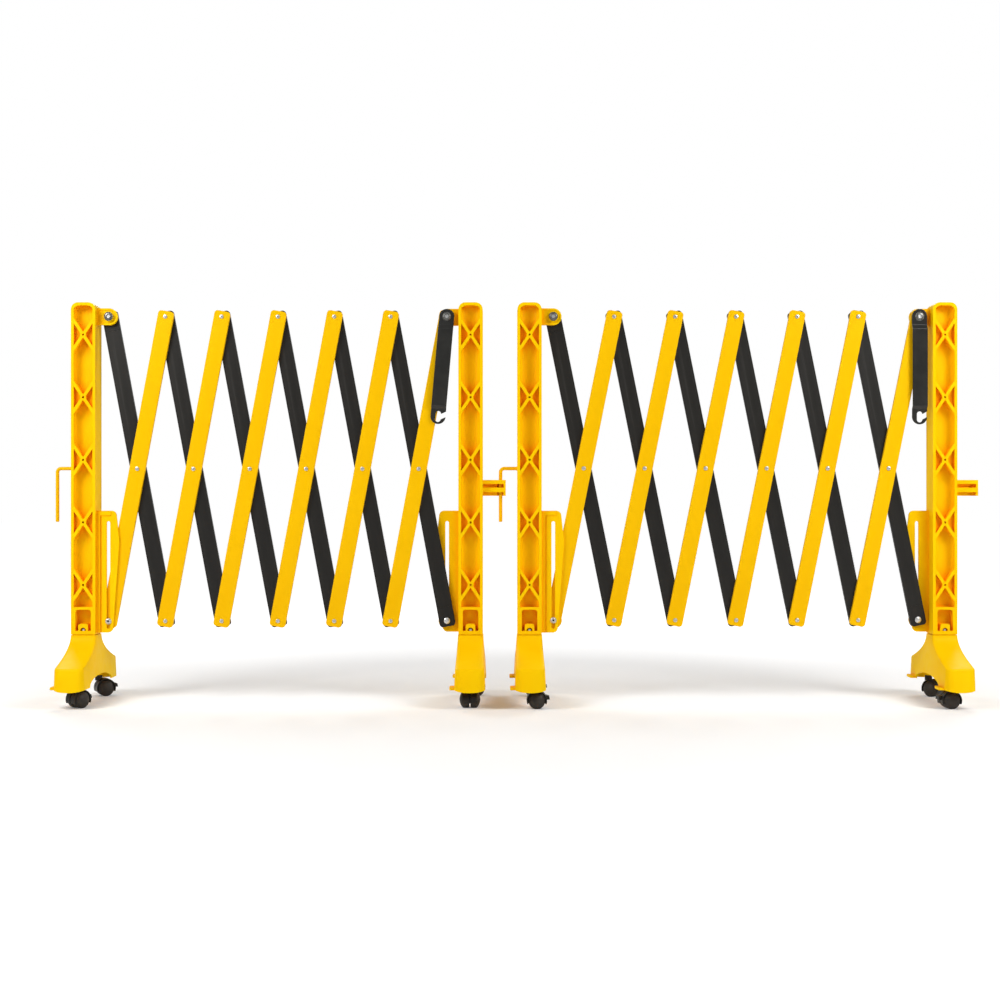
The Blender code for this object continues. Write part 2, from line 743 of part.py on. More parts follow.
def foot_mesh():
    """A hollow boot about the post's axis, open below, with a boss for each caster's stem."""
    levels = foot_levels()
    outer = lofted([foot_ring(*level, 0) for level in levels])
    inner = lofted([foot_ring(*level, FOOT_WALL) for level in levels])
    ends = (-CASTER_SPREAD / 2, CASTER_SPREAD / 2)
    bosses = joined([cylinder(0, y, BOSS_BOTTOM, FOOT_TOP, BOSS_RADIUS, HOLE_SIDES) for y in ends])
    hole_top = BOSS_BOTTOM + STEM_LENGTH + CLEARANCE
    hole_low = BOSS_BOTTOM - FOOT_WALL
    stems = joined([cylinder(0, y, hole_low, hole_top, bore_radius(STEM_RADIUS), HOLE_SIDES) for y in ends])
    bosses = combined(bosses, ("DIFFERENCE", stems))
    side_arch = plate([arch_outline()], SIDEWAYS, -FOOT_BOTTOM_WIDTH, FOOT_BOTTOM_WIDTH)
    return combined(
        outer,
        ("DIFFERENCE", combined(inner, ("DIFFERENCE", bosses))),
        ("DIFFERENCE", below_foot()),
        ("DIFFERENCE", side_arch),
        ("UNION", joined([foot_lip(-1), foot_lip(1)])),
    )


def arch_outline(steps=6):
    """Half an ellipse over the foot's bottom edge, with its ends run on below that edge."""
    half = ARCH_LENGTH / 2
    angles = [math.pi * step / steps for step in range(1, steps)]
    crown = [(half * math.cos(a), FOOT_BOTTOM + ARCH_RISE * math.sin(a)) for a in angles]
    return [(half, FOOT_BOTTOM - FOOT_WALL), *crown, (-half, FOOT_BOTTOM - FOOT_WALL)]


def foot_lip(end):
    """The small ledge low on the foot's -X side, towards one end."""
    wall = -FOOT_BOTTOM_WIDTH / 2
    far = end * (FOOT_DEPTH / 2 - LIP_FROM_END)
    near = far - end * LIP_LENGTH
    base = FOOT_BOTTOM + CLEARANCE
    return box(
        (wall - LIP_REACH, min(near, far), base),
        (wall + FOOT_WALL * 3 / 4, max(near, far), base + LIP_HEIGHT),
    )


def below_foot(steps=6):
    """All that is under a foot's bottom edge, which bows down in the middle of each end."""
    half = FOOT_BOTTOM_WIDTH / 2
    edge = []
    for step in range(steps + 1):
        share = 2 * step / steps - 1
        edge.append((half * share, FOOT_BOTTOM - UNDERSIDE_BOW * (1 - share**2)))
    corners = [(FOOT_BOTTOM_WIDTH, FOOT_BOTTOM), (FOOT_BOTTOM_WIDTH, 0), (-FOOT_BOTTOM_WIDTH, 0)]
    return upright_plate([edge + corners + [(-FOOT_BOTTOM_WIDTH, FOOT_BOTTOM)]], -FOOT_DEPTH, FOOT_DEPTH)


def hood_mesh():
    """A caster's hood, neck, stem and brake lever about the swivel axis. The wheels trail to +X."""
    half = HOOD_WEB / 2 + CLEARANCE + WHEEL_WIDTH
    edge = HOOD_RADIUS - HOOD_CHAMFER
    flank = half - HOOD_CHAMFER
    shell = turned(
        [(0, half), (edge, half), (HOOD_RADIUS, flank), (HOOD_RADIUS, -flank), (edge, -half), (0, -half)],
        HOOD_SIDES,
        axis="Y",
    )
    shell.transform(Matrix.Translation((TRAIL, 0, AXLE_HEIGHT)))
    below = AXLE_HEIGHT - HOOD_BELOW_AXLE
    far = HOOD_RADIUS * 2
    open_side = box((TRAIL - far, -far, below - far), (TRAIL + far, far, below))
    axle_hole = upright_plate([bore(TRAIL, AXLE_HEIGHT, AXLE_RADIUS)], -far, far)
    neck_top = BOSS_BOTTOM - CLEARANCE
    stem = turned(
        [
            (0, BOSS_BOTTOM + STEM_LENGTH),
            (STEM_RADIUS, BOSS_BOTTOM + STEM_LENGTH),
            (STEM_RADIUS, neck_top),
            (NECK_RADIUS, neck_top),
            (NECK_RADIUS, AXLE_HEIGHT + AXLE_RADIUS * 2),
            (0, AXLE_HEIGHT + AXLE_RADIUS * 2),
        ],
        ROUND_SIDES,
    )
    root = HOOD_RADIUS - HOOD_WALL / 2
    tip = HOOD_RADIUS + LEVER_REACH
    low, high = LEVER_ANGLES
    spokes = [(root, low), (tip, low), (tip, (low + high) / 2), (root, high)]
    lever = [(TRAIL + r * math.cos(a), AXLE_HEIGHT + r * math.sin(a)) for r, a in spokes]
    wheel_room = [(0, half * 2), (WHEEL_RADIUS + HOOD_GAP, half * 2), (WHEEL_RADIUS + HOOD_GAP, HOOD_WEB / 2)]
    wheel_room.append((0, HOOD_WEB / 2))
    rooms = []
    for side in (-1, 1):
        room = turned(wheel_room, WHEEL_SIDES, axis="Y")
        if side < 0:
            room.transform(Matrix.Rotation(math.pi, 4, "Z"))
        room.transform(Matrix.Translation((TRAIL, 0, AXLE_HEIGHT)))
        rooms.append(room)
    return combined(
        shell,
        ("DIFFERENCE", open_side),
        ("DIFFERENCE", axle_hole),
        ("UNION", stem),
        ("UNION", upright_plate([lever], -LEVER_WIDTH / 2, LEVER_WIDTH / 2)),
        ("DIFFERENCE", joined(rooms)),
    )


def wheels_mesh():
    """Two wheels on one axle, about the axle's middle."""
    inner = HOOD_WEB / 2 + CLEARANCE
    outer = inner + WHEEL_WIDTH
    dome = [(WHEEL_RADIUS * share, outer + WHEEL_DOME * (1 - share**2)) for share in (0, 0.45, 0.75, 1)]
    top_half = [*dome, (WHEEL_RADIUS, inner), (AXLE_RADIUS, inner)]
    return turned(top_half + [(r, -y) for r, y in reversed(top_half)], WHEEL_SIDES, axis="Y")


# Assembly


class Assembly:
    """Places named pieces, each under an empty on the axis that its body turns about."""

    def __init__(self):
        self.parts = collection("expanding_barrier")

    def axis(self, name, point, parent=None):
        empty = bpy.data.objects.new(name, None)
        self.parts.objects.link(empty)
        offset = parent.matrix_world.translation if parent else Vector()
        empty.parent = parent
        empty.location = Vector(point) - offset
        bpy.context.view_layer.update()
        return empty

    def add(self, name, data, material, axis, point, turn_y=0, turn_z=0):
        """Puts a piece at a world point under its body's axis."""
        if not data.materials:
            data.materials.append(material)
        obj = bpy.data.objects.new(name, data)
        self.parts.objects.link(obj)
        obj.parent = axis
        obj.location = Vector(point) - axis.matrix_world.translation
        obj.rotation_euler = (0, turn_y, turn_z)
        return obj


def smooth(data):
    """Round faces shade smooth, and corners stay sharp."""
    if isinstance(data, bpy.types.Mesh):
        data.shade_smooth()
        data.set_sharp_from_angle(angle=math.radians(38))
    return data


def pieces():
    """Each shape once, by its name."""
    made = {
        "post": post_mesh(),
        "foot": foot_mesh(),
        "left_bolt": pivot_bolt_mesh(right=False),
        "right_bolt": pivot_bolt_mesh(right=True),
        "latch": latch_mesh(),
        "link_pin": link_pin_curve(),
        "link_socket": socket_mesh(),
        "hood": hood_mesh(),
        "wheels": wheels_mesh(),
        **bar_meshes(),
    }
    return {name: smooth(data) for name, data in made.items()}


def finishes():
    return {
        "moulded_yellow": principled("moulded_yellow", (1.0, 0.58, 0.003), 0.38),
        "yellow": principled("painted_yellow", (1.0, 0.59, 0.002), 0.3),
        "black": principled("painted_black", (0.012, 0.012, 0.013), 0.35),
        "strap": principled("black_strap", (0.008, 0.008, 0.009), 0.25),
        "zinc": principled("zinc_steel", (0.62, 0.62, 0.6), 0.32, 1.0),
        "caster": principled("caster_black", (0.014, 0.014, 0.015), 0.45),
    }


def span(section):
    """From the first top pivot to the last."""
    return CELLS * BAR_LENGTH * math.sin(LEAN[section])


def section_length(section):
    """From the left post's outer face to the right post's."""
    return span(section) + 2 * (PIVOT_REACH + POST_WIDTH)


def left_faces():
    """Where each section's left post starts, with the whole barrier's middle at x = 0."""
    left_end = LINK_REACH + LINK_RADIUS
    right_end = SOCKET_HOLE_REACH + SOCKET_END
    link = SOCKET_HOLE_REACH + LINK_SEAT + LINK_REACH
    total = left_end + section_length("a") + link + section_length("b") + right_end
    first = left_end - total / 2
    return {"a": first, "b": first + section_length("a") + link}


def add_casters(assembly, shapes, looks, section, side, post_axis, x):
    for end, y in (("front", -CASTER_SPREAD / 2), ("rear", CASTER_SPREAD / 2)):
        heading = math.radians(CASTER_HEADING[section, side, end])
        tag = f"{side}_{end}_{section}"
        swivel = assembly.axis(f"swivel_{tag}", (x, y, BOSS_BOTTOM), post_axis)
        assembly.add(f"caster_hood_{tag}", shapes["hood"], looks["caster"], swivel, (x, y, 0), turn_z=heading)
        axle = (x + TRAIL * math.cos(heading), y + TRAIL * math.sin(heading), AXLE_HEIGHT)
        spin = assembly.axis(f"axle_{tag}", axle, swivel)
        assembly.add(f"caster_wheels_{tag}", shapes["wheels"], looks["caster"], spin, axle, turn_z=heading)


def add_post(assembly, shapes, looks, section, side, post_axis, x):
    """A post with its foot, bolt, link fitting and casters. x is the post's middle."""
    right = side == "right"
    half_turn = math.pi if right else 0
    inward = -1 if right else 1
    pivot = (x + inward * (POST_WIDTH / 2 + PIVOT_REACH), 0, TOP_PIVOT)
    tag = f"{side}_{{}}_{section}".format
    assembly.add(tag("post"), shapes["post"], looks["moulded_yellow"], post_axis, (x, 0, 0), turn_z=half_turn)
    assembly.add(tag("foot"), shapes["foot"], looks["moulded_yellow"], post_axis, (x, 0, 0))
    assembly.add(tag("pivot_bolt"), shapes[f"{side}_bolt"], looks["zinc"], post_axis, pivot)
    link = "link_socket" if right else "link_pin"
    finish = looks["moulded_yellow"] if right else looks["yellow"]
    assembly.add(f"{link}_{section}", shapes[link], finish, post_axis, (x, 0, 0))
    add_casters(assembly, shapes, looks, section, side, post_axis, x)
    if right:
        hinge = assembly.axis(f"latch_axis_{section}", pivot, post_axis)
        tilt = LATCH_TILT[section]
        assembly.add(f"latch_{section}", shapes["latch"], looks["strap"], hinge, pivot, turn_y=tilt)


def add_bar(assembly, shapes, looks, colour, section, cell, axis, top):
    place = {1: "first", CELLS: "last"}.get(cell, "middle")
    lean = LEAN[section] if colour == "yellow" else -LEAN[section]
    name = f"{colour}_bar_{section}{cell}"
    assembly.add(name, shapes[colour, place], looks[colour], axis, top, turn_y=lean)


def add_section(assembly, shapes, looks, section, left_face, left_axis=None, right_axis=None):
    """One section, whose bodies hang from the post that is given an axis, cell by cell to its other post."""
    pitch = span(section) / CELLS
    left_x = left_face + POST_WIDTH / 2
    right_x = left_face + section_length(section) - POST_WIDTH / 2
    first_top = left_face + POST_WIDTH + PIVOT_REACH
    middle = TOP_PIVOT - BAR_LENGTH / 2 * math.cos(LEAN[section])
    tops = [(first_top + pitch * index, 0, TOP_PIVOT) for index in range(CELLS + 1)]
    from_left = left_axis is not None
    carrier = left_axis or right_axis
    cells = range(1, CELLS + 1) if from_left else range(CELLS, 0, -1)
    lead, follow = ("black", "yellow") if from_left else ("yellow", "black")
    hung_from = {"yellow": lambda cell: tops[cell], "black": lambda cell: tops[cell - 1]}
    for cell in cells:
        lead_axis = assembly.axis(f"top_axis_{section}{cell}", hung_from[lead](cell), carrier)
        add_bar(assembly, shapes, looks, lead, section, cell, lead_axis, hung_from[lead](cell))
        crossing = (first_top + pitch * (cell - 0.5), 0, middle)
        carrier = assembly.axis(f"crossing_{section}{cell}", crossing, lead_axis)
        add_bar(assembly, shapes, looks, follow, section, cell, carrier, hung_from[follow](cell))
    far_axis = assembly.axis(f"far_post_axis_{section}", tops[CELLS] if from_left else tops[0], carrier)
    add_post(assembly, shapes, looks, section, "left", left_axis or far_axis, left_x)
    add_post(assembly, shapes, looks, section, "right", right_axis or far_axis, right_x)


def main():
    clear_scene()
    cutters = collection("cutters")
    assembly = Assembly()
    shapes = pieces()
    looks = finishes()
    faces = left_faces()
    base_x = faces["a"] + section_length("a") - POST_WIDTH / 2
    base = assembly.axis("base", (base_x, 0, 0))
    link = assembly.axis("link_axis", (faces["b"] - LINK_REACH, 0, LINK_HEIGHT), base)
    add_section(assembly, shapes, looks, "a", faces["a"], right_axis=base)
    add_section(assembly, shapes, looks, "b", faces["b"], left_axis=link)
    bpy.data.collections.remove(cutters)


if __name__ == "__main__":
    main()
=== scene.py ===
"""Looks for two linked expanding barrier sections on casters.

Each piece is drawn about its own origin, as the left post's or a hanging bar's.
The frame then says where it goes.
"""

import json
import math

import bmesh
import bpy
from mathutils import Matrix, Vector


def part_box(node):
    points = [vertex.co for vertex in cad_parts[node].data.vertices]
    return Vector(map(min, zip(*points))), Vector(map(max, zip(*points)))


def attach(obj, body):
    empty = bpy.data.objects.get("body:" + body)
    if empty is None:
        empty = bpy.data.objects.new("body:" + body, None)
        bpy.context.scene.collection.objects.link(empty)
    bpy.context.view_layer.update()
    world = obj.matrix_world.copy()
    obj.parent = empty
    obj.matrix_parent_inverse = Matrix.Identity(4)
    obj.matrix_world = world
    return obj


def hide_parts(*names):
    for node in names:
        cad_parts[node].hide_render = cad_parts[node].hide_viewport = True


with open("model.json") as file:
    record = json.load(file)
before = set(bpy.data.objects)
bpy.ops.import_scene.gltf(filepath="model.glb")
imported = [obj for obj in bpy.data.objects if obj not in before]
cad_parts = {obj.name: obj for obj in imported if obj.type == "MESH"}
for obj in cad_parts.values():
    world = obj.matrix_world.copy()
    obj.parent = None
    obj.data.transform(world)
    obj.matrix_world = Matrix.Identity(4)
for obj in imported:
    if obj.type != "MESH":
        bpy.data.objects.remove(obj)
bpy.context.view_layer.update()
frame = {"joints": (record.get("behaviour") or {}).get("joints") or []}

MM = 0.001
WELD = 0.001 * MM
CLEARANCE = 0.3 * MM
HAIR = CLEARANCE / 6
FULL_TURN = 2 * math.pi
FLAT_ANGLE = math.radians(0.5)  # faces that meet closer than this are one
SECTIONS = ("a", "b")
SIDES = ("left", "right")
ENDS = ("front", "rear")
CELLS = 6

# How finely round forms are drawn
FINE_SIDES = 40
WHEEL_SIDES = 64
SMALL_SIDES = 28
SHANK_SIDES = 24
DOT_SIDES = 16

# Places that the frame gives
JOINTS = {joint["name"]: Vector(joint["pos_m"]) for joint in frame["joints"]}
TOP_PIVOTS = {
    ("left", "a"): JOINTS["far_post_pivot_a"],
    ("right", "a"): JOINTS["fold_a"],
    ("left", "b"): JOINTS["fold_b"],
    ("right", "b"): JOINTS["far_post_pivot_b"],
}
TOP_PIVOT = JOINTS["fold_a"].z
POST_LOW, POST_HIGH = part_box("left_post_a")
POST_BOTTOM = POST_LOW.z
POST_TOP = POST_HIGH.z
POST_DEPTH = POST_HIGH.y - POST_LOW.y
FOOT_LOW, FOOT_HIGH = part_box("left_foot_a")
FOOT_TOP = FOOT_HIGH.z
FOOT_DEPTH = FOOT_HIGH.y - FOOT_LOW.y
BAR_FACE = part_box("black_bar_a2")[1].y
AXLE_HEIGHT = JOINTS["roll_left_front_a"].z
SWIVEL_HEIGHT = JOINTS["swivel_left_front_a"].z
TRAIL = (JOINTS["roll_left_front_a"] - JOINTS["swivel_left_front_a"]).to_2d().length
STEM_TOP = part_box("caster_hood_left_front_a")[1].z
LINK_LOW, LINK_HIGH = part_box("link_pin_a")
SOCKET_LOW, SOCKET_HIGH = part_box("link_socket_a")

# Posts
POST_WIDTH = 58 * MM
POST_CORNER = 17 * MM
POST_RIM = 6.6 * MM
POST_WEB = 10 * MM
CROSS_COUNT = 5
CROSS_BELOW_TOP = 77 * MM
CROSS_ABOVE_SILL = 56 * MM
CROSS_RISE = 33 * MM
CROSS_RIB = 7.4 * MM
CROSS_BOSS = 7.2 * MM
CROSS_DOT = 2.6 * MM
CROSS_DOT_DEPTH = 12 * MM
SILL_HEIGHT = 63.5 * MM
SILL_RIB = 6 * MM
SILL_POCKET_WIDTH = 37 * MM
SIDE_POCKET_DEPTH = 12.5 * MM
SILL_CORNER = 7 * MM
TOP_BAY_CORNER = 18 * MM
TROUGH_POWER = 3.2
TROUGH_STEPS = 28
BASE_RIM = 10 * MM
SEAM_GAP = 1.3 * MM
SEAM_DEPTH = 2.5 * MM
NUT_BOSS_WIDTH = 23 * MM
NUT_BOSS_HEIGHT = 16.5 * MM
NUT_BOSS_CORNER = 5 * MM
NUT_CAVITY = 7 * MM
PIVOT_REACH = 28 * MM
EAR_RADIUS = 20 * MM
EAR_RIM = 4 * MM
EAR_RECESS = 1.2 * MM
ROOT = 3 * MM
MOULDED_EDGE = 0.5 * MM

# Slotted flange
FLANGE_THICKNESS = 5.5 * MM
FLANGE_TOP_WIDTH = 46 * MM
FLANGE_BULGE_WIDTH = 54 * MM
FLANGE_BOTTOM_WIDTH = 38 * MM
FLANGE_BULGE_DROP = 75 * MM
FLANGE_ABOVE_SLOT = 25 * MM
FLANGE_BELOW_SLOT = 9.6 * MM
FLANGE_CORNER = 12 * MM
FLANGE_STRIP_WIDTH = 9.5 * MM
FLANGE_STRIP_HEIGHT = 2 * MM
FLANGE_TOP_BORDER = 11 * MM
FLANGE_FILLET = 2 * MM
FLANGE_GROOVE = 1.8 * MM
SLOT_SPARE = 2 * MM
SLIDE_ABOVE_FOOT = 21 * MM
LEAN_OPEN = math.radians(48)

# Bars and their fixings
BAR_WIDTH = 38 * MM
BAR_OVERHANG = 14 * MM
BAR_CORNER = 8 * MM
BAR_EDGE = 1.3 * MM
PLUG_LENGTH = 34 * MM
PLUG_EDGE = 0.7 * MM
SHANK_RADIUS = 4 * MM
RIVET_HEAD_RADIUS = 5.2 * MM
RIVET_HEAD_HEIGHT = 2.2 * MM
RIVET_DIMPLE = RIVET_HEAD_RADIUS * 0.36
RIVET_DIMPLE_FLOOR = RIVET_DIMPLE * 0.8
RIVET_CROWN = RIVET_HEAD_RADIUS * 0.62
RIVET_BROW = RIVET_HEAD_RADIUS * 0.88
RIVET_SHOULDER = RIVET_HEAD_HEIGHT * 0.45
RIVET_SKIRT = RIVET_HEAD_HEIGHT * 0.75
SLIDE_HEAD_RADIUS = 7.4 * MM
SLIDE_HEAD_HEIGHT = 4 * MM
SLIDE_FLANGE = SLIDE_HEAD_HEIGHT * 0.3
SLIDE_CAP_RADIUS = SLIDE_HEAD_RADIUS * 0.86
SLIDE_CAP_HEIGHT = SLIDE_HEAD_HEIGHT * 0.7
SLIDE_BACK_RADIUS = SLIDE_HEAD_RADIUS * 0.7
SLIDE_BACK_RIM = 0.6  # of the rear head's height
SLIDE_WASHER_SPARE = 1 * MM
PIVOT_HEAD_RADIUS = 10.7 * MM
PIVOT_HEAD_HEIGHT = 4 * MM
PIVOT_FLANGE = PIVOT_HEAD_HEIGHT * 0.3
PIVOT_CAP_RADIUS = PIVOT_HEAD_RADIUS * 0.84
HEAD_ROUND = ((0.66, 0), (0.86, 0.14), (0.97, 0.42), (1, 0.75))  # shares of radius, and of drop from crown
HEX = 6
PIVOT_HEX = 5 * MM
SLIDE_HEX = 2.8 * MM
HEX_DEPTH = 0.95  # of the head's height
HEX_FLOOR = 0.3 * MM
HOOK_NECK_RADIUS = 5 * MM
STRAP_WASHER_RADIUS = 8.7 * MM
NUT_RADIUS = 8 * MM
NUT_HEIGHT = 4.8 * MM
NUT_CHAMFER = 0.2  # of the nut's height
NUT_CROWN = 0.86  # of the nut's radius
BOLT_TIP = SHANK_RADIUS * 0.8
FOOT_NUT_RADIUS = 5 * MM
FOOT_NUT_HEIGHT = 4 * MM

# Latch strap
LATCH_TILT = {"a": math.radians(5), "b": 0}
LATCH_WIDTH = 36 * MM
LATCH_THICKNESS = 3 * MM
LATCH_STEP = 6 * MM
LATCH_TOP_BEND = (20 * MM, 30 * MM)
LATCH_LOW_BEND = (26 * MM, 19 * MM)
LATCH_BEND_RADIUS = 2.5 * MM
LATCH_EDGE = 0.7 * MM
NOTCH_WIDTH = 13 * MM
NOTCH_LENGTH = 26 * MM
MOUTH_RISE = 6.5 * MM

# Link pin and socket
LINK_RADIUS = 4.25 * MM
LINK_BEND = 9 * MM
LINK_TIP = LINK_RADIUS * 0.7
LINK_COLLAR = 5.4 * MM
LINK_COLLAR_END = LINK_COLLAR * 0.8
LINK_COLLAR_LENGTH = LINK_RADIUS * 0.7
SOCKET_HOLE_REACH = 40.5 * MM
SOCKET_HOLE_RADIUS = 7 * MM
SOCKET_CAP = 5 * MM
SOCKET_WEB = (-2.5 * MM, 9 * MM)
SOCKET_TOP_PLATE = 9.7 * MM
SOCKET_GROOVE = 8.6 * MM
SOCKET_LOW_PLATE = 11 * MM

# Feet
UNDERSIDE_BOW = 5 * MM
FOOT_SHOULDER = 95 * MM
FOOT_TOP_DEPTH = 62 * MM
FOOT_TOP_WIDTH = 60 * MM
FOOT_BOTTOM_WIDTH = 72 * MM
TOE_DRAFT = 3 * MM
TOE_DRAFT_AT_ROUND = TOE_DRAFT * 0.9
NECK_CORNER = 6 * MM
TOE_CORNER = 20 * MM
FOOT_WALL = 4 * MM
SHOULDER_ROUND = 4.5 * MM
SHOULDER_RUN_OUT = SHOULDER_ROUND * 0.35
SHOULDER_STEPS = 4
TOE_FACE_STEPS = 4
ARCH_FROM_END = 65 * MM
ARCH_RISE = 22 * MM
LIP_LENGTH = 42 * MM
LIP_REACH = 11 * MM
LIP_HEIGHT = 6 * MM
LIP_DROP = 0.6 * MM
LIP_ROOT = FOOT_WALL * 3 / 4
LIP_FROM_END = 20 * MM
LIP_CORNER = 4.5 * MM
STEM_BOSS_RADIUS = 10 * MM

# Casters
STEM_RADIUS = 5 * MM
STEM_EDGE = 1 * MM
NECK_RADIUS = 9 * MM
WHEEL_WIDTH = 15.7 * MM
WHEEL_DOME = 7 * MM
WHEEL_ROUND = 3.6 * MM
WHEEL_RIM_DROP = WHEEL_ROUND / 5
WHEEL_SHOULDER = 1 * MM
HUB_RING = 15 * MM
HUB_GROOVE = 0.5 * MM
AXLE_RADIUS = 3.4 * MM
HOOD_RADIUS = 23.5 * MM
HOOD_WALL = 2.2 * MM
HOOD_WEB = 2.4 * MM
HOOD_SPLIT = 3 * MM
HOOD_SPLIT_DEPTH = 2.4 * MM
HOOD_BELOW_AXLE = 8 * MM
LEVER_REACH = 7 * MM
LEVER_WIDTH = 20 * MM
LEVER_ANGLES = (math.radians(4), math.radians(34))
CASTER_EDGE = 1 * MM

# What follows from those
FOOT_BOTTOM = FOOT_LOW.z + UNDERSIDE_BOW
POST_FRONT = -POST_DEPTH / 2
POST_FACE = POST_WIDTH / 2
PIVOT_FROM_AXIS = POST_FACE + PIVOT_REACH
POCKET_HALF = POST_FACE - POST_RIM
CROSS_HIGHEST = POST_TOP - CROSS_BELOW_TOP
CROSS_LOWEST = POST_BOTTOM + SILL_HEIGHT + CROSS_ABOVE_SILL
CROSS_PITCH = (CROSS_HIGHEST - CROSS_LOWEST) / (CROSS_COUNT - 1)
CROSS_HEIGHTS = [CROSS_HIGHEST - CROSS_PITCH * index for index in range(CROSS_COUNT)]
CROSS_SLANT = math.hypot(POCKET_HALF, CROSS_RISE)
CROSS_POINT = CROSS_RIB / 2 * CROSS_SLANT / POCKET_HALF  # from a cross's middle to the bay above it
FLANGE_INNER = BAR_FACE + CLEARANCE
FLANGE_OUTER = FLANGE_INNER + FLANGE_THICKNESS
LATCH_INNER = BAR_FACE + RIVET_HEAD_HEIGHT + CLEARANCE
LATCH_OUTER = LATCH_INNER + LATCH_THICKNESS
LATCH_LENGTH = TOP_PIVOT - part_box("latch_b")[0].z - LATCH_WIDTH / 2
SLIDE_CLOSED = FOOT_TOP + SLIDE_ABOVE_FOOT
FIRST_CROSSING = {s: JOINTS[f"crossing_{s}1"] for s in SECTIONS}
CELL_PITCH = {s: (JOINTS[f"crossing_{s}{CELLS}"] - FIRST_CROSSING[s]).x / (CELLS - 1) for s in SECTIONS}
CELL_RISE = {s: TOP_PIVOT - FIRST_CROSSING[s].z for s in SECTIONS}
LEAN = {s: math.atan2(CELL_PITCH[s] / 2, CELL_RISE[s]) for s in SECTIONS}
BAR_LENGTH = 2 * math.hypot(CELL_PITCH["a"] / 2, CELL_RISE["a"])
SLIDE_OPEN = TOP_PIVOT - BAR_LENGTH * math.cos(LEAN_OPEN)
SLIDE_REST = TOP_PIVOT - 2 * min(CELL_RISE.values())
SLOT_BELOW_BOLT = SLIDE_REST - SLIDE_CLOSED + SLOT_SPARE + SHANK_RADIUS + CLEARANCE

AS_DRAWN = Matrix.Identity(4)
UPRIGHT = Matrix.Rotation(math.pi / 2, 4, "X")  # drawing X and Y become X and Z
ALONG_Y = UPRIGHT.inverted()  # Z becomes Y
SIDEWAYS = Matrix(((0, 0, 1, 0), (1, 0, 0, 0), (0, 1, 0, 0), (0, 0, 0, 1)))  # drawing X and Y become Y and Z


# Outlines, as lists of (x, y) points


def arc(x, y, radius, start, end, steps):
    """Points on a circle from one angle to another, both ends included."""
    angles = [start + (end - start) * step / steps for step in range(steps + 1)]
    return [(x + radius * math.cos(a), y + radius * math.sin(a)) for a in angles]


def circle(x, y, radius, sides=FINE_SIDES):
    return arc(x, y, radius, 0, FULL_TURN, sides)[:-1]


def slot(x, low, high, radius, steps=16):
    """An upright slot with round ends about (x, low) and (x, high)."""
    return arc(x, high, radius, 0, math.pi, steps) + arc(x, low, radius, math.pi, FULL_TURN, steps)


def filleted(corners, steps=6):
    """An outline through (x, y, radius) corners, each rounded by an arc."""
    points = []
    for index, (x, y, radius) in enumerate(corners):
        corner = Vector((x, y))
        back = (Vector(corners[index - 1][:2]) - corner).normalized()
        ahead = (Vector(corners[(index + 1) % len(corners)][:2]) - corner).normalized()
        if radius == 0:
            points.append((x, y))
            continue
        half = back.angle(ahead) / 2
        centre = corner + (back + ahead).normalized() * radius / math.sin(half)
        first = corner + back * radius / math.tan(half) - centre
        last = corner + ahead * radius / math.tan(half) - centre
        turn = first.angle_signed(last)
        for step in range(steps + 1):
            spoke = Matrix.Rotation(-turn * step / steps, 2) @ first
            points.append(tuple(centre + spoke))
    return points


# Solids, as meshes


def added(data, name="helper"):
    """A new object in the scene. A helper holds a shape while it is cut, joined or evaluated."""
    obj = bpy.data.objects.new(name, data)
    bpy.context.scene.collection.objects.link(obj)
    return obj


def evaluated(obj, weld=True):
    """The object's mesh after its modifiers. The object is removed."""
    bpy.context.view_layer.update()
    graph = bpy.context.evaluated_depsgraph_get()
    final = obj.evaluated_get(graph)
    mesh = bpy.data.meshes.new_from_object(final, preserve_all_data_layers=True, depsgraph=graph)
    bpy.data.objects.remove(obj)
    if weld:
        bm = bmesh.new()
        bm.from_mesh(mesh)
        bmesh.ops.remove_doubles(bm, verts=bm.verts, dist=WELD)
        bmesh.ops.recalc_face_normals(bm, faces=bm.faces)
        bm.to_mesh(mesh)
        bm.free()
    return mesh


def filled(name, bm):
    """A mesh of a bmesh, which is freed."""
    mesh = bpy.data.meshes.new(name)
    bm.to_mesh(mesh)
    bm.free()
    return mesh


def add_line(curve, points, closed):
    """A straight-sided spline through (x, y, z) points."""
    spline = curve.splines.new("POLY")
    spline.points.add(len(points) - 1)
    for point, spot in zip(spline.points, points):
        point.co = (*spot, 1)
    spline.use_cyclic_u = closed


def plate(loops, matrix, low, high):
    """A flat solid from closed outlines, rims with holes inside them, from low to high along its normal."""
    curve = bpy.data.curves.new("outline", "CURVE")
    curve.dimensions = "2D"
    curve.fill_mode = "BOTH"
    curve.extrude = (high - low) / 2
    for loop in loops:
        add_line(curve, [(x, y, 0) for x, y in loop], closed=True)
    mesh = evaluated(added(curve))
    mesh.transform(matrix @ Matrix.Translation((0, 0, (low + high) / 2)))
    return mesh


def upright_plate(loops, front, back):
    """A plate drawn in X and Z, from y = front to y = back."""
    return plate(loops, UPRIGHT, -back, -front)


def turned(profile, sides=FINE_SIDES, matrix=ALONG_Y):
    """A solid of revolution from (radius, place along the axis) points, both ends on the axis."""
    bm = bmesh.new()
    rings = []
    for radius, height in profile:
        corners = circle(0, 0, radius, sides) if radius else [(0, 0)]
        rings.append([bm.verts.new((x, y, height)) for x, y in corners])
    for low, high in zip(rings, rings[1:]):
        for side in range(sides):
            pair = (side, (side + 1) % sides)
            corners = [low[index % len(low)] for index in pair]
            corners += [high[index % len(high)] for index in reversed(pair)]
            bm.faces.new(list(dict.fromkeys(corners)))
    bmesh.ops.recalc_face_normals(bm, faces=bm.faces)
    mesh = filled("turned", bm)
    mesh.transform(matrix)
    return mesh


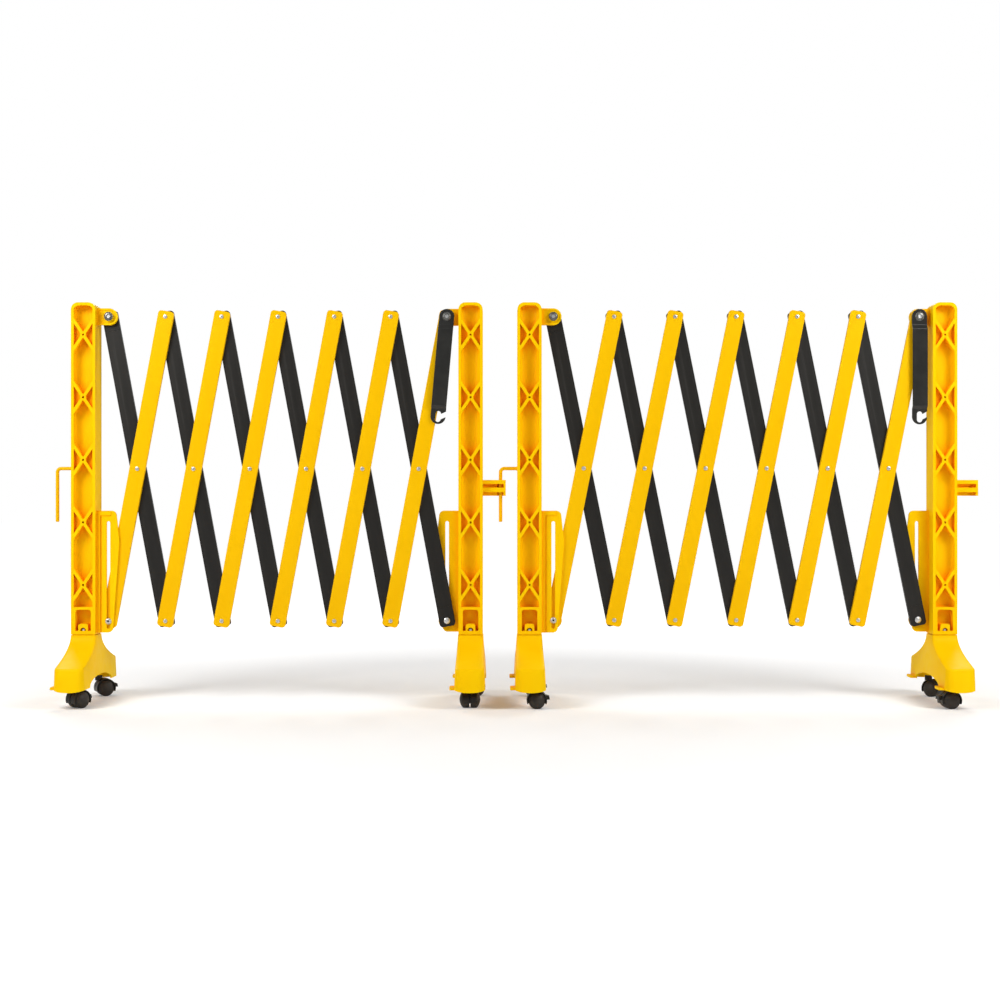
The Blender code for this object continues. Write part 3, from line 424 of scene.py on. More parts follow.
def rod(radius, start, end, sides=FINE_SIDES, matrix=ALONG_Y):
    """A plain round bar from start to end along its axis."""
    return turned([(0, start), (radius, start), (radius, end), (0, end)], sides, matrix)


def prism(sides, radius, low, high, matrix=AS_DRAWN):
    """A regular prism along Z, then moved."""
    return plate([circle(0, 0, radius, sides)], matrix, low, high)


def box(low, high):
    bm = bmesh.new()
    bmesh.ops.create_cube(bm, size=1)
    size = Vector(high) - Vector(low)
    middle = (Vector(high) + Vector(low)) / 2
    bmesh.ops.transform(bm, verts=bm.verts, matrix=Matrix.LocRotScale(middle, None, size))
    return filled("box", bm)


def moved(mesh, x=0.0, y=0.0, z=0.0):
    mesh.transform(Matrix.Translation((x, y, z)))
    return mesh


def joined(meshes):
    """Several shapes as one mesh, with nothing cut or merged."""
    bm = bmesh.new()
    for mesh in meshes:
        bm.from_mesh(mesh)
    return filled("joined", bm)


def combined(base, *steps):
    """base after each (operation, mesh) step in turn."""
    obj = added(base)
    others = [added(mesh) for _, mesh in steps]
    for (operation, _), other in zip(steps, others):
        modifier = obj.modifiers.new(operation, "BOOLEAN")
        modifier.operation = operation
        modifier.object = other
    result = evaluated(obj)
    for other in others:
        bpy.data.objects.remove(other)
    return result


def edged(mesh, width, segments=2, sharp=math.radians(35)):
    """The mesh with its sharp edges rounded, and shaded so that its flats stay flat."""
    bm = bmesh.new()
    bm.from_mesh(mesh)
    bmesh.ops.dissolve_limit(bm, angle_limit=FLAT_ANGLE, verts=bm.verts, edges=bm.edges)
    bm.to_mesh(mesh)
    bm.free()
    mesh.shade_smooth()
    obj = added(mesh)
    bevel = obj.modifiers.new("edges", "BEVEL")
    bevel.width = width
    bevel.segments = segments
    bevel.limit_method = "ANGLE"
    bevel.angle_limit = sharp
    bevel.use_clamp_overlap = True
    bevel.harden_normals = True
    return evaluated(obj, weld=False)


def smooth(mesh, sharp=math.radians(40)):
    """Round faces shade smooth, and corners stay sharp."""
    mesh.shade_smooth()
    mesh.set_sharp_from_angle(angle=sharp)
    return mesh


# Posts, drawn as the left one, with the lattice on its +X side


def side_pocket_outlines():
    """The three-cornered pockets on either side of each cross, as X and Z outlines."""
    tip = CROSS_RIB / 2 * CROSS_SLANT / CROSS_RISE
    reach = CROSS_RISE - CROSS_POINT
    outlines = []
    for z in CROSS_HEIGHTS:
        for side in (-1, 1):
            edge = side * POCKET_HALF
            outlines.append([(side * tip, z), (edge, z - reach), (edge, z + reach)])
    return outlines


def bay_outlines():
    """The bays above, between and below the crosses, drawn wider than the trough that they are cut to."""
    side = POST_FACE - POST_RIM / 2
    foot = CROSS_POINT + CROSS_RISE * side / POCKET_HALF

    def under(z):
        """A bay's upper edge, below the cross at z, from right to left."""
        return [(side, z - foot), (0, z - CROSS_POINT), (-side, z - foot)]

    def over(z):
        """A bay's lower edge, above the cross at z, from left to right."""
        return [(-side, z + foot), (0, z + CROSS_POINT), (side, z + foot)]

    ceiling = POST_TOP - POST_RIM
    floor = POST_BOTTOM + SILL_HEIGHT + SILL_RIB / 2
    top_edge = [(side, ceiling, TOP_BAY_CORNER), (-side, ceiling, TOP_BAY_CORNER)]
    outlines = [filleted(top_edge + [(x, z, 0) for x, z in over(CROSS_HEIGHTS[0])])]
    for upper, lower in zip(CROSS_HEIGHTS, CROSS_HEIGHTS[1:]):
        outlines.append(under(upper) + over(lower))
    outlines.append(under(CROSS_HEIGHTS[-1]) + [(-side, floor), (side, floor)])
    return outlines


def sill_outline():
    """The bottom pocket, which goes round the boss for the foot's nut."""
    side = SILL_POCKET_WIDTH / 2
    high = POST_BOTTOM + SILL_HEIGHT - SILL_RIB / 2
    low = POST_BOTTOM + BASE_RIM
    boss = NUT_BOSS_WIDTH / 2
    boss_top = low + NUT_BOSS_HEIGHT
    corners = [(side, high, SILL_CORNER), (-side, high, SILL_CORNER), (-side, low, 0), (-boss, low, 0)]
    corners += [(-boss, boss_top, NUT_BOSS_CORNER), (boss, boss_top, NUT_BOSS_CORNER)]
    corners += [(boss, low, 0), (side, low, 0)]
    return filleted(corners)


def nut_cavity():
    """The arched opening in that boss."""
    low = POST_BOTTOM + BASE_RIM
    spring = low + MOULDED_EDGE
    return [(NUT_CAVITY, low), *arc(0, spring, NUT_CAVITY, 0, math.pi, steps=12), (-NUT_CAVITY, low)]


def trough():
    """The hollow that the bays are cut to, along a post's front."""
    depth = -POST_WEB / 2 - POST_FRONT
    section = [(POCKET_HALF, POST_FRONT - POST_RIM)]
    for step in range(TROUGH_STEPS + 1):
        angle = math.pi * step / TROUGH_STEPS
        across = math.copysign(abs(math.cos(angle)) ** (2 / TROUGH_POWER), math.cos(angle))
        down = abs(math.sin(angle)) ** (2 / TROUGH_POWER)
        section.append((POCKET_HALF * across, POST_FRONT + depth * down))
    section.append((-POCKET_HALF, POST_FRONT - POST_RIM))
    return plate([section], AS_DRAWN, POST_BOTTOM, POST_TOP)


def pockets():
    """What the crosses, their bosses and the rims leave open on a post's front."""
    outside = POST_FRONT - POST_RIM
    bays = combined(upright_plate(bay_outlines(), outside - POST_RIM, 0), ("INTERSECT", trough()))
    sill = upright_plate([sill_outline(), nut_cavity()], outside, -POST_WEB / 2)
    sides = upright_plate(side_pocket_outlines(), outside, POST_FRONT + SIDE_POCKET_DEPTH)
    bosses = upright_plate([circle(0, z, CROSS_BOSS) for z in CROSS_HEIGHTS], outside - POST_RIM, 0)
    dots = [circle(0, z, CROSS_DOT, DOT_SIDES) for z in CROSS_HEIGHTS]
    drilled = upright_plate(dots, outside, POST_FRONT + CROSS_DOT_DEPTH)
    return joined([combined(joined([bays, sill, sides]), ("DIFFERENCE", bosses)), drilled])


def ear():
    """The lug that the first rear bar hangs on, in the front bars' plane."""

    def lobe(radius, root):
        """A round end about the pivot, run back to x = root."""
        end = arc(PIVOT_FROM_AXIS, TOP_PIVOT, radius, -math.pi / 2, math.pi / 2, steps=24)
        return end + [(root, TOP_PIVOT + radius), (root, TOP_PIVOT - radius)]

    hole = circle(PIVOT_FROM_AXIS, TOP_PIVOT, SHANK_RADIUS + CLEARANCE)
    hollow = lobe(EAR_RADIUS - EAR_RIM, POST_FACE + EAR_RIM)
    return combined(
        upright_plate([lobe(EAR_RADIUS, POST_FACE - ROOT), hole], -BAR_FACE, -CLEARANCE),
        ("DIFFERENCE", upright_plate([hollow], -BAR_FACE - EAR_RIM, -BAR_FACE + EAR_RECESS)),
    )


def flange():
    """The slotted plate in front of the first front bar's bottom end, with a raised border by the post."""
    face = POST_FACE
    root = face - ROOT
    slot_radius = SHANK_RADIUS + CLEARANCE
    slot_low = SLIDE_CLOSED - SLOT_SPARE
    slot_high = SLIDE_OPEN + SLOT_SPARE
    low = slot_low - slot_radius - FLANGE_BELOW_SLOT
    high = slot_high + slot_radius + FLANGE_ABOVE_SLOT
    rim = [
        (root, low, 0),
        (face + FLANGE_BOTTOM_WIDTH, low, FLANGE_CORNER),
        (face + FLANGE_BULGE_WIDTH, high - FLANGE_BULGE_DROP, FLANGE_BULGE_DROP / 2),
        (face + FLANGE_TOP_WIDTH, high, FLANGE_CORNER),
        (root, high, 0),
    ]
    slide_slot = slot(PIVOT_FROM_AXIS, slot_low, slot_high, slot_radius)
    strip_end = face + FLANGE_STRIP_WIDTH
    border_end = face + FLANGE_TOP_WIDTH - FLANGE_CORNER
    border_low = high - FLANGE_TOP_BORDER
    border_high = high - FLANGE_FILLET
    border = [
        (root, low, 0),
        (strip_end, low, 0),
        (strip_end, border_low, FLANGE_FILLET),
        (border_end, border_low, FLANGE_FILLET),
        (border_end, border_high, FLANGE_FILLET),
        (root, border_high, 0),
    ]
    front = -FLANGE_OUTER
    bite = FLANGE_GROOVE / 6
    groove = box(
        (strip_end - bite, front - FLANGE_THICKNESS, low + FLANGE_FILLET),
        (strip_end + FLANGE_GROOVE, front + FLANGE_GROOVE, border_low - bite),
    )
    return (
        upright_plate([filleted(rim, steps=10), slide_slot], front, -FLANGE_INNER),
        upright_plate([filleted(border)], front - FLANGE_STRIP_HEIGHT, front + FLANGE_STRIP_HEIGHT),
        groove,
    )


def post_mesh():
    corners = [(POST_FACE, POST_TOP, POST_CORNER), (-POST_FACE, POST_TOP, POST_CORNER)]
    corners += [(-POST_FACE, POST_BOTTOM + SEAM_GAP, 0), (POST_FACE, POST_BOTTOM + SEAM_GAP, 0)]
    rim = filleted(corners, steps=12)
    front_pockets = pockets()
    rear_pockets = front_pockets.copy()
    rear_pockets.transform(Matrix.Rotation(math.pi, 4, "Z"))
    slotted, border, groove = flange()
    solid = combined(
        upright_plate([rim], POST_FRONT, -POST_FRONT),
        ("DIFFERENCE", front_pockets),
        ("DIFFERENCE", rear_pockets),
        ("UNION", ear()),
        ("UNION", slotted),
        ("UNION", border),
        ("DIFFERENCE", groove),
    )
    inset = POST_FACE - SEAM_DEPTH
    spigot = box(
        (-inset, POST_FRONT + SEAM_DEPTH, POST_BOTTOM),
        (inset, -POST_FRONT - SEAM_DEPTH, POST_BOTTOM + BASE_RIM / 2),
    )
    return joined([edged(solid, MOULDED_EDGE), spigot])


# Bars, hung from the top pivot at the origin


def bar_corners():
    """A bar's corners from its top right round to its bottom right."""
    half = BAR_WIDTH / 2
    top = BAR_OVERHANG
    bottom = -BAR_LENGTH - BAR_OVERHANG
    return [(half, top), (-half, top), (-half, bottom), (half, bottom)]


def yellow_bar_mesh():
    rim = filleted([(x, z, BAR_CORNER) for x, z in bar_corners()])
    return edged(upright_plate([rim], -BAR_FACE, -CLEARANCE), BAR_EDGE, segments=3)


def black_bar_mesh():
    """A tube with a plug in either end, whose seam shows across it."""
    top_right, top_left, low_left, low_right = bar_corners()
    high = -PLUG_LENGTH
    low = PLUG_LENGTH - BAR_LENGTH
    right, left = top_right[0], top_left[0]
    outlines = [
        [(*top_right, BAR_CORNER), (*top_left, BAR_CORNER), (left, high, 0), (right, high, 0)],
        [(right, high, 0), (left, high, 0), (left, low, 0), (right, low, 0)],
        [(right, low, 0), (left, low, 0), (*low_left, BAR_CORNER), (*low_right, BAR_CORNER)],
    ]
    lengths = [upright_plate([filleted(outline)], CLEARANCE, BAR_FACE) for outline in outlines]
    return joined([edged(length, PLUG_EDGE) for length in lengths])


# Fixings, about their own axis, which runs front to back through the origin


def rivet_mesh():
    """A domed head with a pressed dimple in front, and a formed tail behind."""
    head = BAR_FACE + RIVET_HEAD_HEIGHT
    tail = head + CLEARANCE
    front = [(0, -head + RIVET_DIMPLE), (RIVET_DIMPLE_FLOOR, -head + RIVET_DIMPLE), (RIVET_DIMPLE, -head)]
    front += [(RIVET_CROWN, -head), (RIVET_BROW, -head + RIVET_SHOULDER / 2)]
    front += [(RIVET_HEAD_RADIUS, -head + RIVET_SKIRT), (RIVET_HEAD_RADIUS, -BAR_FACE)]
    back = [(SHANK_RADIUS, -BAR_FACE), (SHANK_RADIUS, tail - RIVET_HEAD_HEIGHT)]
    back += [(RIVET_HEAD_RADIUS, tail - RIVET_HEAD_HEIGHT), (RIVET_HEAD_RADIUS, tail - RIVET_SHOULDER)]
    back += [(RIVET_CROWN, tail), (0, tail)]
    return smooth(turned(front + back, SMALL_SIDES))


def socket_head(radius, height, seat, socket):
    """A button head on y = -seat, with a hexagon socket in its crown."""
    crown = seat + height
    rounded = [(radius * out, -crown + height * down) for out, down in HEAD_ROUND]
    head = turned([(0, -crown), *rounded, (radius, -seat), (0, -seat)])
    hexagon = prism(HEX, socket, -height, height * HEX_DEPTH, ALONG_Y)
    return combined(head, ("DIFFERENCE", moved(hexagon, y=-crown)))


def washer(radius, low, high, edge=0.4 * MM):
    """A disc between two depths, with its rim's edges taken off."""
    rim = [(radius - edge, low), (radius, low + edge), (radius, high - edge), (radius - edge, high)]
    return turned([(0, low), *rim, (0, high)])


def hex_nut(radius, low, high):
    """A chamfered nut with the bolt's end standing out of it, along +Y."""
    chamfer = (high - low) * NUT_CHAMFER
    body = prism(HEX, radius, low, high, ALONG_Y)
    below = low - chamfer
    end = high + chamfer
    outside = radius + CLEARANCE
    crown = radius * NUT_CROWN * 2 - outside
    cone = [(0, below), (outside, below), (outside, high - chamfer), (crown, end), (0, end)]
    nut = combined(body, ("INTERSECT", turned(cone)))
    middle = (low + high) / 2
    tip = [(0, middle), (SHANK_RADIUS, middle), (SHANK_RADIUS, end - chamfer / 2), (BOLT_TIP, end), (0, end)]
    return combined(nut, ("UNION", turned(tip)))


def slide_bolt_mesh():
    """Through a bar and its flange, with its head in front of the flange and a thin head behind the bar."""
    seat = FLANGE_OUTER + CLEARANCE
    inner = SLIDE_HEAD_HEIGHT - CLEARANCE
    back = [(0, -CLEARANCE), (SLIDE_HEAD_RADIUS, -CLEARANCE), (SLIDE_HEAD_RADIUS, inner * SLIDE_BACK_RIM)]
    back += [(SLIDE_BACK_RADIUS, inner), (0, inner)]
    parts = [
        washer(SLIDE_HEAD_RADIUS, -seat - SLIDE_FLANGE, -seat),
        socket_head(SLIDE_CAP_RADIUS, SLIDE_CAP_HEIGHT, seat + SLIDE_FLANGE, SLIDE_HEX),
        rod(SHANK_RADIUS, -seat, -CLEARANCE, SHANK_SIDES),
        turned(back),
    ]
    return smooth(joined(parts))


def slide_washer_mesh():
    """The thin washer between a bar's end and its flange, which closes the slot's end."""
    return smooth(rod(SLOT_BELOW_BOLT + SLIDE_WASHER_SPARE, -FLANGE_INNER + HAIR, -BAR_FACE - HAIR))


def hex_floor_mesh(seat, radius):
    """The floor of a hexagon socket whose head sits at y = -seat: a piece of its own, which paints shade into
    the slide bolts' sockets and a highlight into the pivot bolts'.
    """
    return prism(HEX, radius - HAIR, -seat - HEX_FLOOR * 2, -seat - HEX_FLOOR, ALONG_Y)


def pivot_bolt_mesh(right):
    """The bolt and nut in a post's ear. The left one has a neck for the hook, and the right one a washer."""
    head_seat = LATCH_OUTER + CLEARANCE
    seat = BAR_FACE + CLEARANCE
    parts = [
        washer(PIVOT_HEAD_RADIUS, -head_seat - PIVOT_FLANGE, -head_seat),
        socket_head(PIVOT_CAP_RADIUS, PIVOT_HEAD_HEIGHT - PIVOT_FLANGE, head_seat + PIVOT_FLANGE, PIVOT_HEX),
        rod(SHANK_RADIUS, -head_seat, seat, SHANK_SIDES),
        hex_nut(NUT_RADIUS, seat, seat + NUT_HEIGHT),
    ]
    if right:
        parts.append(washer(STRAP_WASHER_RADIUS, -LATCH_INNER + CLEARANCE, -seat))
    else:
        parts.append(washer(HOOK_NECK_RADIUS, -head_seat, -seat))
    return smooth(joined(parts))


def latch_mesh():
    """A strap with joggled ends, hung from its pivot at the origin. Its hook opens to +X."""
    half = LATCH_WIDTH / 2
    hook = -LATCH_LENGTH
    notch = NOTCH_WIDTH / 2
    notch_top = hook + NOTCH_LENGTH / 2 - notch
    notch_low = hook - NOTCH_LENGTH / 2 + notch
    mouth_top = notch_top + MOUTH_RISE
    mouth_low = notch_low + MOUTH_RISE
    rim = arc(0, 0, half, 0, math.pi, steps=32)
    rim += arc(0, hook, half, math.pi, FULL_TURN + math.asin((mouth_low - hook) / half), steps=36)
    rim += arc(0, notch_low, notch, FULL_TURN, math.pi, steps=16)
    rim += arc(0, notch_top, notch, math.pi, 0, steps=16)
    rim.append((half, mouth_top))
    reach = LATCH_OUTER + LATCH_STEP + LATCH_THICKNESS
    outline = upright_plate([rim, circle(0, 0, SHANK_RADIUS + CLEARANCE)], -reach, 0)
    low_bend = [hook + height for height in LATCH_LOW_BEND]
    far_up = half + LATCH_WIDTH
    far_down = hook - LATCH_WIDTH
    bends = [
        (LATCH_INNER, -LATCH_TOP_BEND[0]),
        (LATCH_INNER + LATCH_STEP, -LATCH_TOP_BEND[1]),
        (LATCH_INNER + LATCH_STEP, low_bend[0]),
        (LATCH_INNER, low_bend[1]),
    ]
    rear_side = [(-LATCH_INNER, far_up, 0)]
    rear_side += [(-depth, z, LATCH_BEND_RADIUS) for depth, z in bends]
    rear_side.append((-LATCH_INNER, far_down, 0))
    front_side = [(y - LATCH_THICKNESS, z, radius) for y, z, radius in reversed(rear_side)]
    strip = plate([filleted(rear_side + front_side)], SIDEWAYS, -LATCH_WIDTH, LATCH_WIDTH)
    return edged(combined(strip, ("INTERSECT", outline)), LATCH_EDGE)


# Link pin and socket, drawn about their posts' axes


def link_pin_mesh():
    """The L-shaped rod with a rounded tip, and the collar that it comes out of."""
    face = -POST_FACE
    height = LINK_HIGH.z - LINK_RADIUS
    x = face - (TOP_PIVOTS["left", "a"].x - PIVOT_REACH - POST_WIDTH - LINK_LOW.x - LINK_RADIUS)
    bend = arc(x + LINK_BEND, height - LINK_BEND, LINK_BEND, math.pi / 2, math.pi, steps=12)
    tip = LINK_LOW.z + LINK_RADIUS / 2
    path = [(face - CLEARANCE, height), *bend, (x, tip)]
    curve = bpy.data.curves.new("link_pin", "CURVE")
    curve.dimensions = "3D"
    curve.bevel_depth = LINK_RADIUS
    curve.bevel_resolution = 6
    curve.use_fill_caps = True
    add_line(curve, [(across, 0, z) for across, z in path], closed=False)
    bent = evaluated(added(curve))
    nose = [(0, 0), (LINK_TIP, 0), (LINK_RADIUS, LINK_RADIUS / 2)]
    nose += [(LINK_RADIUS, LINK_RADIUS), (0, LINK_RADIUS)]
    cap = moved(turned(nose, SHANK_SIDES, AS_DRAWN), x=x, z=LINK_LOW.z)
    profile = [(0, 0), (LINK_COLLAR, 0), (LINK_COLLAR_END, LINK_COLLAR_LENGTH), (0, LINK_COLLAR_LENGTH)]
    collar = turned(profile, SMALL_SIDES, Matrix.Rotation(-math.pi / 2, 4, "Y"))
    return smooth(joined([bent, cap, moved(collar, x=face - CLEARANCE, z=height)]))


def socket_mesh():
    """The ribbed arm with the link pin's hole."""
    face = POST_FACE
    hole_x = face + SOCKET_HOLE_REACH
    end = face + CLEARANCE + SOCKET_HIGH.x - SOCKET_LOW.x
    half = (SOCKET_HIGH.y - SOCKET_LOW.y) / 2
    top = SOCKET_HIGH.z
    upper_groove = top - SOCKET_TOP_PLATE
    lower_groove = upper_groove - SOCKET_GROOVE - SOCKET_LOW_PLATE
    bottom = SOCKET_LOW.z
    web_front, web_back = SOCKET_WEB
    grooves = []
    for high, low in ((upper_groove, upper_groove - SOCKET_GROOVE), (lower_groove, bottom - SOCKET_GROOVE)):
        for front, back in ((-half * 2, web_front), (web_back, half * 2)):
            grooves.append(box((face - POST_RIM, front, low), (end - SOCKET_CAP, back, high)))
    hole = prism(FINE_SIDES, SOCKET_HOLE_RADIUS, bottom - SOCKET_GROOVE, top + SOCKET_GROOVE)
    solid = combined(
        box((face + CLEARANCE, -half, bottom), (end, half, top)),
        ("DIFFERENCE", joined(grooves)),
        ("DIFFERENCE", moved(hole, x=hole_x)),
    )
    return edged(solid, MOULDED_EDGE)


# Feet, about the post's axis


def foot_levels(steps=14):
    """(height, half depth) up a foot: an upright toe, a rounded shoulder, then a concave sweep."""

    def sweep(height):
        share = (height - FOOT_SHOULDER) / (FOOT_TOP - FOOT_SHOULDER)
        return (FOOT_TOP_DEPTH + (FOOT_DEPTH - 2 * TOE_DRAFT - FOOT_TOP_DEPTH) * (1 - share) ** 2) / 2

    toe = FOOT_SHOULDER - SHOULDER_ROUND
    start = Vector((toe, FOOT_DEPTH / 2 - TOE_DRAFT_AT_ROUND))
    corner = Vector((FOOT_SHOULDER, FOOT_DEPTH / 2 - TOE_DRAFT))
    past = FOOT_SHOULDER + SHOULDER_RUN_OUT
    finish = Vector((past, sweep(past)))
    levels = [(FOOT_BOTTOM, FOOT_DEPTH / 2), tuple(start)]
    for step in range(1, SHOULDER_STEPS):
        share = step / SHOULDER_STEPS
        levels.append(tuple(start.lerp(corner, share).lerp(corner.lerp(finish, share), share)))
    levels.append(tuple(finish))
    for step in range(1, steps + 1):
        height = past + (FOOT_TOP - past) * step / steps
        levels.append((height, sweep(height)))
    return levels


def foot_ring(height, half_y, inset=0.0, lowered=0.0, bow=0.0):
    """A foot's outline at one height, drawn in and lowered, and bowed down from its side walls."""
    share = (height - FOOT_BOTTOM) / (FOOT_TOP - FOOT_BOTTOM)
    half_x = (FOOT_BOTTOM_WIDTH + (FOOT_TOP_WIDTH - FOOT_BOTTOM_WIDTH) * share) / 2 - inset
    half_y -= inset
    radius = TOE_CORNER + (NECK_CORNER - TOE_CORNER) * share - inset
    flat = half_x - radius
    wall = half_x + inset
    ring = []
    for end in (1, -1):
        centre = half_y - radius
        quarter = arc(flat, centre, radius, 0, math.pi / 2, steps=8)
        level = [(flat * (1 - step / TOE_FACE_STEPS), half_y) for step in range(1, TOE_FACE_STEPS)]
        across = quarter + level + [(0, half_y)]
        across += [(-x, y) for x, y in reversed(quarter + level)]
        ring += [(end * x, end * y) for x, y in across]
    return [(x, y, height - lowered - bow * (1 - (x / wall) ** 2)) for x, y in ring]


def boot(levels):
    """A hollow shell through the levels, open below."""
    outer = [foot_ring(*levels[0], bow=UNDERSIDE_BOW)]
    outer += [foot_ring(*level) for level in levels[1:]]
    inner = [foot_ring(*levels[0], FOOT_WALL, bow=UNDERSIDE_BOW)]
    inner += [foot_ring(*level, FOOT_WALL, FOOT_WALL) for level in levels[1:]]
    bm = bmesh.new()
    loops = [[bm.verts.new(point) for point in ring] for ring in list(reversed(outer)) + inner]
    for lower, upper in zip(loops, loops[1:]):
        for index in range(len(lower)):
            bm.faces.new((lower[index - 1], lower[index], upper[index], upper[index - 1]))
    bm.faces.new(loops[0])
    bm.faces.new(loops[-1])
    bmesh.ops.recalc_face_normals(bm, faces=bm.faces)
    return filled("boot", bm)


def arch_outline(steps=28):
    """Half an ellipse over the foot's bottom edge, with its ends run on below that edge."""
    half = FOOT_DEPTH / 2 - ARCH_FROM_END
    angles = [math.pi * step / steps for step in range(1, steps)]
    crown = [(half * math.cos(a), FOOT_BOTTOM + ARCH_RISE * math.sin(a)) for a in angles]
    return [(half, FOOT_BOTTOM - FOOT_WALL), *crown, (-half, FOOT_BOTTOM - FOOT_WALL)]


def foot_lip(end):
    """The small ledge low on the foot's -X side, towards one end."""
    wall = -FOOT_BOTTOM_WIDTH / 2
    far = end * (FOOT_DEPTH / 2 - LIP_FROM_END)
    near = far - end * LIP_LENGTH
    root = wall + LIP_ROOT
    tip = wall - LIP_REACH
    corners = [(root, near, 0), (tip, near, LIP_CORNER), (tip, far, LIP_CORNER), (root, far, 0)]
    if end < 0:
        corners.reverse()
    base = FOOT_BOTTOM - LIP_DROP
    return plate([filleted(corners)], AS_DRAWN, base, base + LIP_HEIGHT)


def foot_mesh():
    side_arch = plate([arch_outline()], SIDEWAYS, -FOOT_BOTTOM_WIDTH, FOOT_BOTTOM_WIDTH)
    solid = combined(
        boot(foot_levels()),
        ("DIFFERENCE", side_arch),
        ("UNION", joined([foot_lip(-1), foot_lip(1)])),
    )
    return edged(solid, MOULDED_EDGE, sharp=math.radians(40))


def stem_boss_mesh():
    """The socket in a foot that a caster's stem turns in, about the swivel axis."""
    top = STEM_TOP + FOOT_WALL
    hole = STEM_RADIUS + CLEARANCE
    low = SWIVEL_HEIGHT
    edge = MOULDED_EDGE
    radius = STEM_BOSS_RADIUS
    profile = [(0, top), (radius, top), (radius, low + edge), (radius - edge, low)]
    profile += [(hole, low), (hole, STEM_TOP + CLEARANCE), (0, STEM_TOP + CLEARANCE)]
    return smooth(turned(profile, matrix=AS_DRAWN))


# Casters. The hood is about the swivel axis, with the wheels trailing to +X


def hood_mesh():
    """The cover over both wheels, split along its middle, with its neck and brake lever."""
    half = HOOD_WEB / 2 + CLEARANCE + WHEEL_WIDTH
    split = HOOD_SPLIT / 2
    waist = HOOD_RADIUS - HOOD_SPLIT_DEPTH
    top_half = [(0, half), (HOOD_RADIUS, half), (HOOD_RADIUS, split), (waist, split)]
    shell = turned(top_half + [(r, -y) for r, y in reversed(top_half)], WHEEL_SIDES)
    moved(shell, x=TRAIL, z=AXLE_HEIGHT)
    room = HOOD_RADIUS - HOOD_WALL
    below = AXLE_HEIGHT - HOOD_BELOW_AXLE
    far = HOOD_RADIUS * 2
    open_side = box((TRAIL - far, -far, below - far), (TRAIL + far, far, below))
    root = AXLE_HEIGHT + HOOD_RADIUS - HOOD_WALL * 2
    neck = rod(NECK_RADIUS, SWIVEL_HEIGHT - CLEARANCE, root, matrix=AS_DRAWN)
    lever_root = HOOD_RADIUS - HOOD_WALL / 2
    tip = HOOD_RADIUS + LEVER_REACH
    low, high = LEVER_ANGLES
    spokes = [(lever_root, low), (tip, low), (tip, (low + high) / 2), (lever_root, high)]
    lever = [(TRAIL + r * math.cos(a), AXLE_HEIGHT + r * math.sin(a)) for r, a in spokes]
    rooms = []
    for side in (-1, 1):
        near, outside = sorted((side * HOOD_WEB / 2, side * half * 2))
        rooms.append(moved(rod(room, near, outside, WHEEL_SIDES), x=TRAIL, z=AXLE_HEIGHT))
    solid = combined(
        shell,
        ("DIFFERENCE", open_side),
        ("UNION", neck),
        ("UNION", upright_plate([lever], -LEVER_WIDTH / 2, LEVER_WIDTH / 2)),
        ("DIFFERENCE", joined(rooms)),
    )
    return edged(solid, CASTER_EDGE)


def stem_mesh():
    """The steel stem that turns in the foot."""
    low = SWIVEL_HEIGHT - CLEARANCE * 2
    profile = [(0, STEM_TOP), (STEM_RADIUS - STEM_EDGE, STEM_TOP), (STEM_RADIUS, STEM_TOP - STEM_EDGE)]
    profile += [(STEM_RADIUS, low), (0, low)]
    return smooth(turned(profile, SMALL_SIDES, AS_DRAWN))


def wheels_mesh(steps=10):
    """Two wheels with domed discs on one axle, about the axle's middle."""
    inner = HOOD_WEB / 2 + CLEARANCE
    outer = inner + WHEEL_WIDTH
    radius = AXLE_HEIGHT

    def dome(r):
        return outer + WHEEL_DOME * (1 - (r / radius) ** 2)

    face = [(HUB_RING * step / steps, dome(HUB_RING * step / steps)) for step in range(steps + 1)]
    past = HUB_RING + HUB_GROOVE * 2
    face += [(HUB_RING + HUB_GROOVE, dome(HUB_RING) - HUB_GROOVE * 2), (past, dome(past))]
    rim = radius - WHEEL_ROUND / 2
    shoulder = rim - WHEEL_SHOULDER
    face += [(shoulder, dome(shoulder)), (rim, dome(rim) - WHEEL_RIM_DROP), (radius, outer - WHEEL_ROUND / 2)]
    face += [(radius, inner + WHEEL_ROUND / 2), (rim, inner), (AXLE_RADIUS, inner)]
    profile = face + [(r, -y) for r, y in reversed(face)]
    return smooth(turned(profile, WHEEL_SIDES))


# Materials


LOOKS = {}
NOISE_LOW = 0.3  # nearly all of the noise lies between these two
NOISE_HIGH = 0.7


def node(tree, kind, **values):
    """A new shader node with its inputs set. Each is named by its socket, with _ for a space."""
    made = tree.nodes.new("ShaderNode" + kind)
    for socket, value in values.items():
        made.inputs[socket.replace("_", " ")].default_value = value
    return made


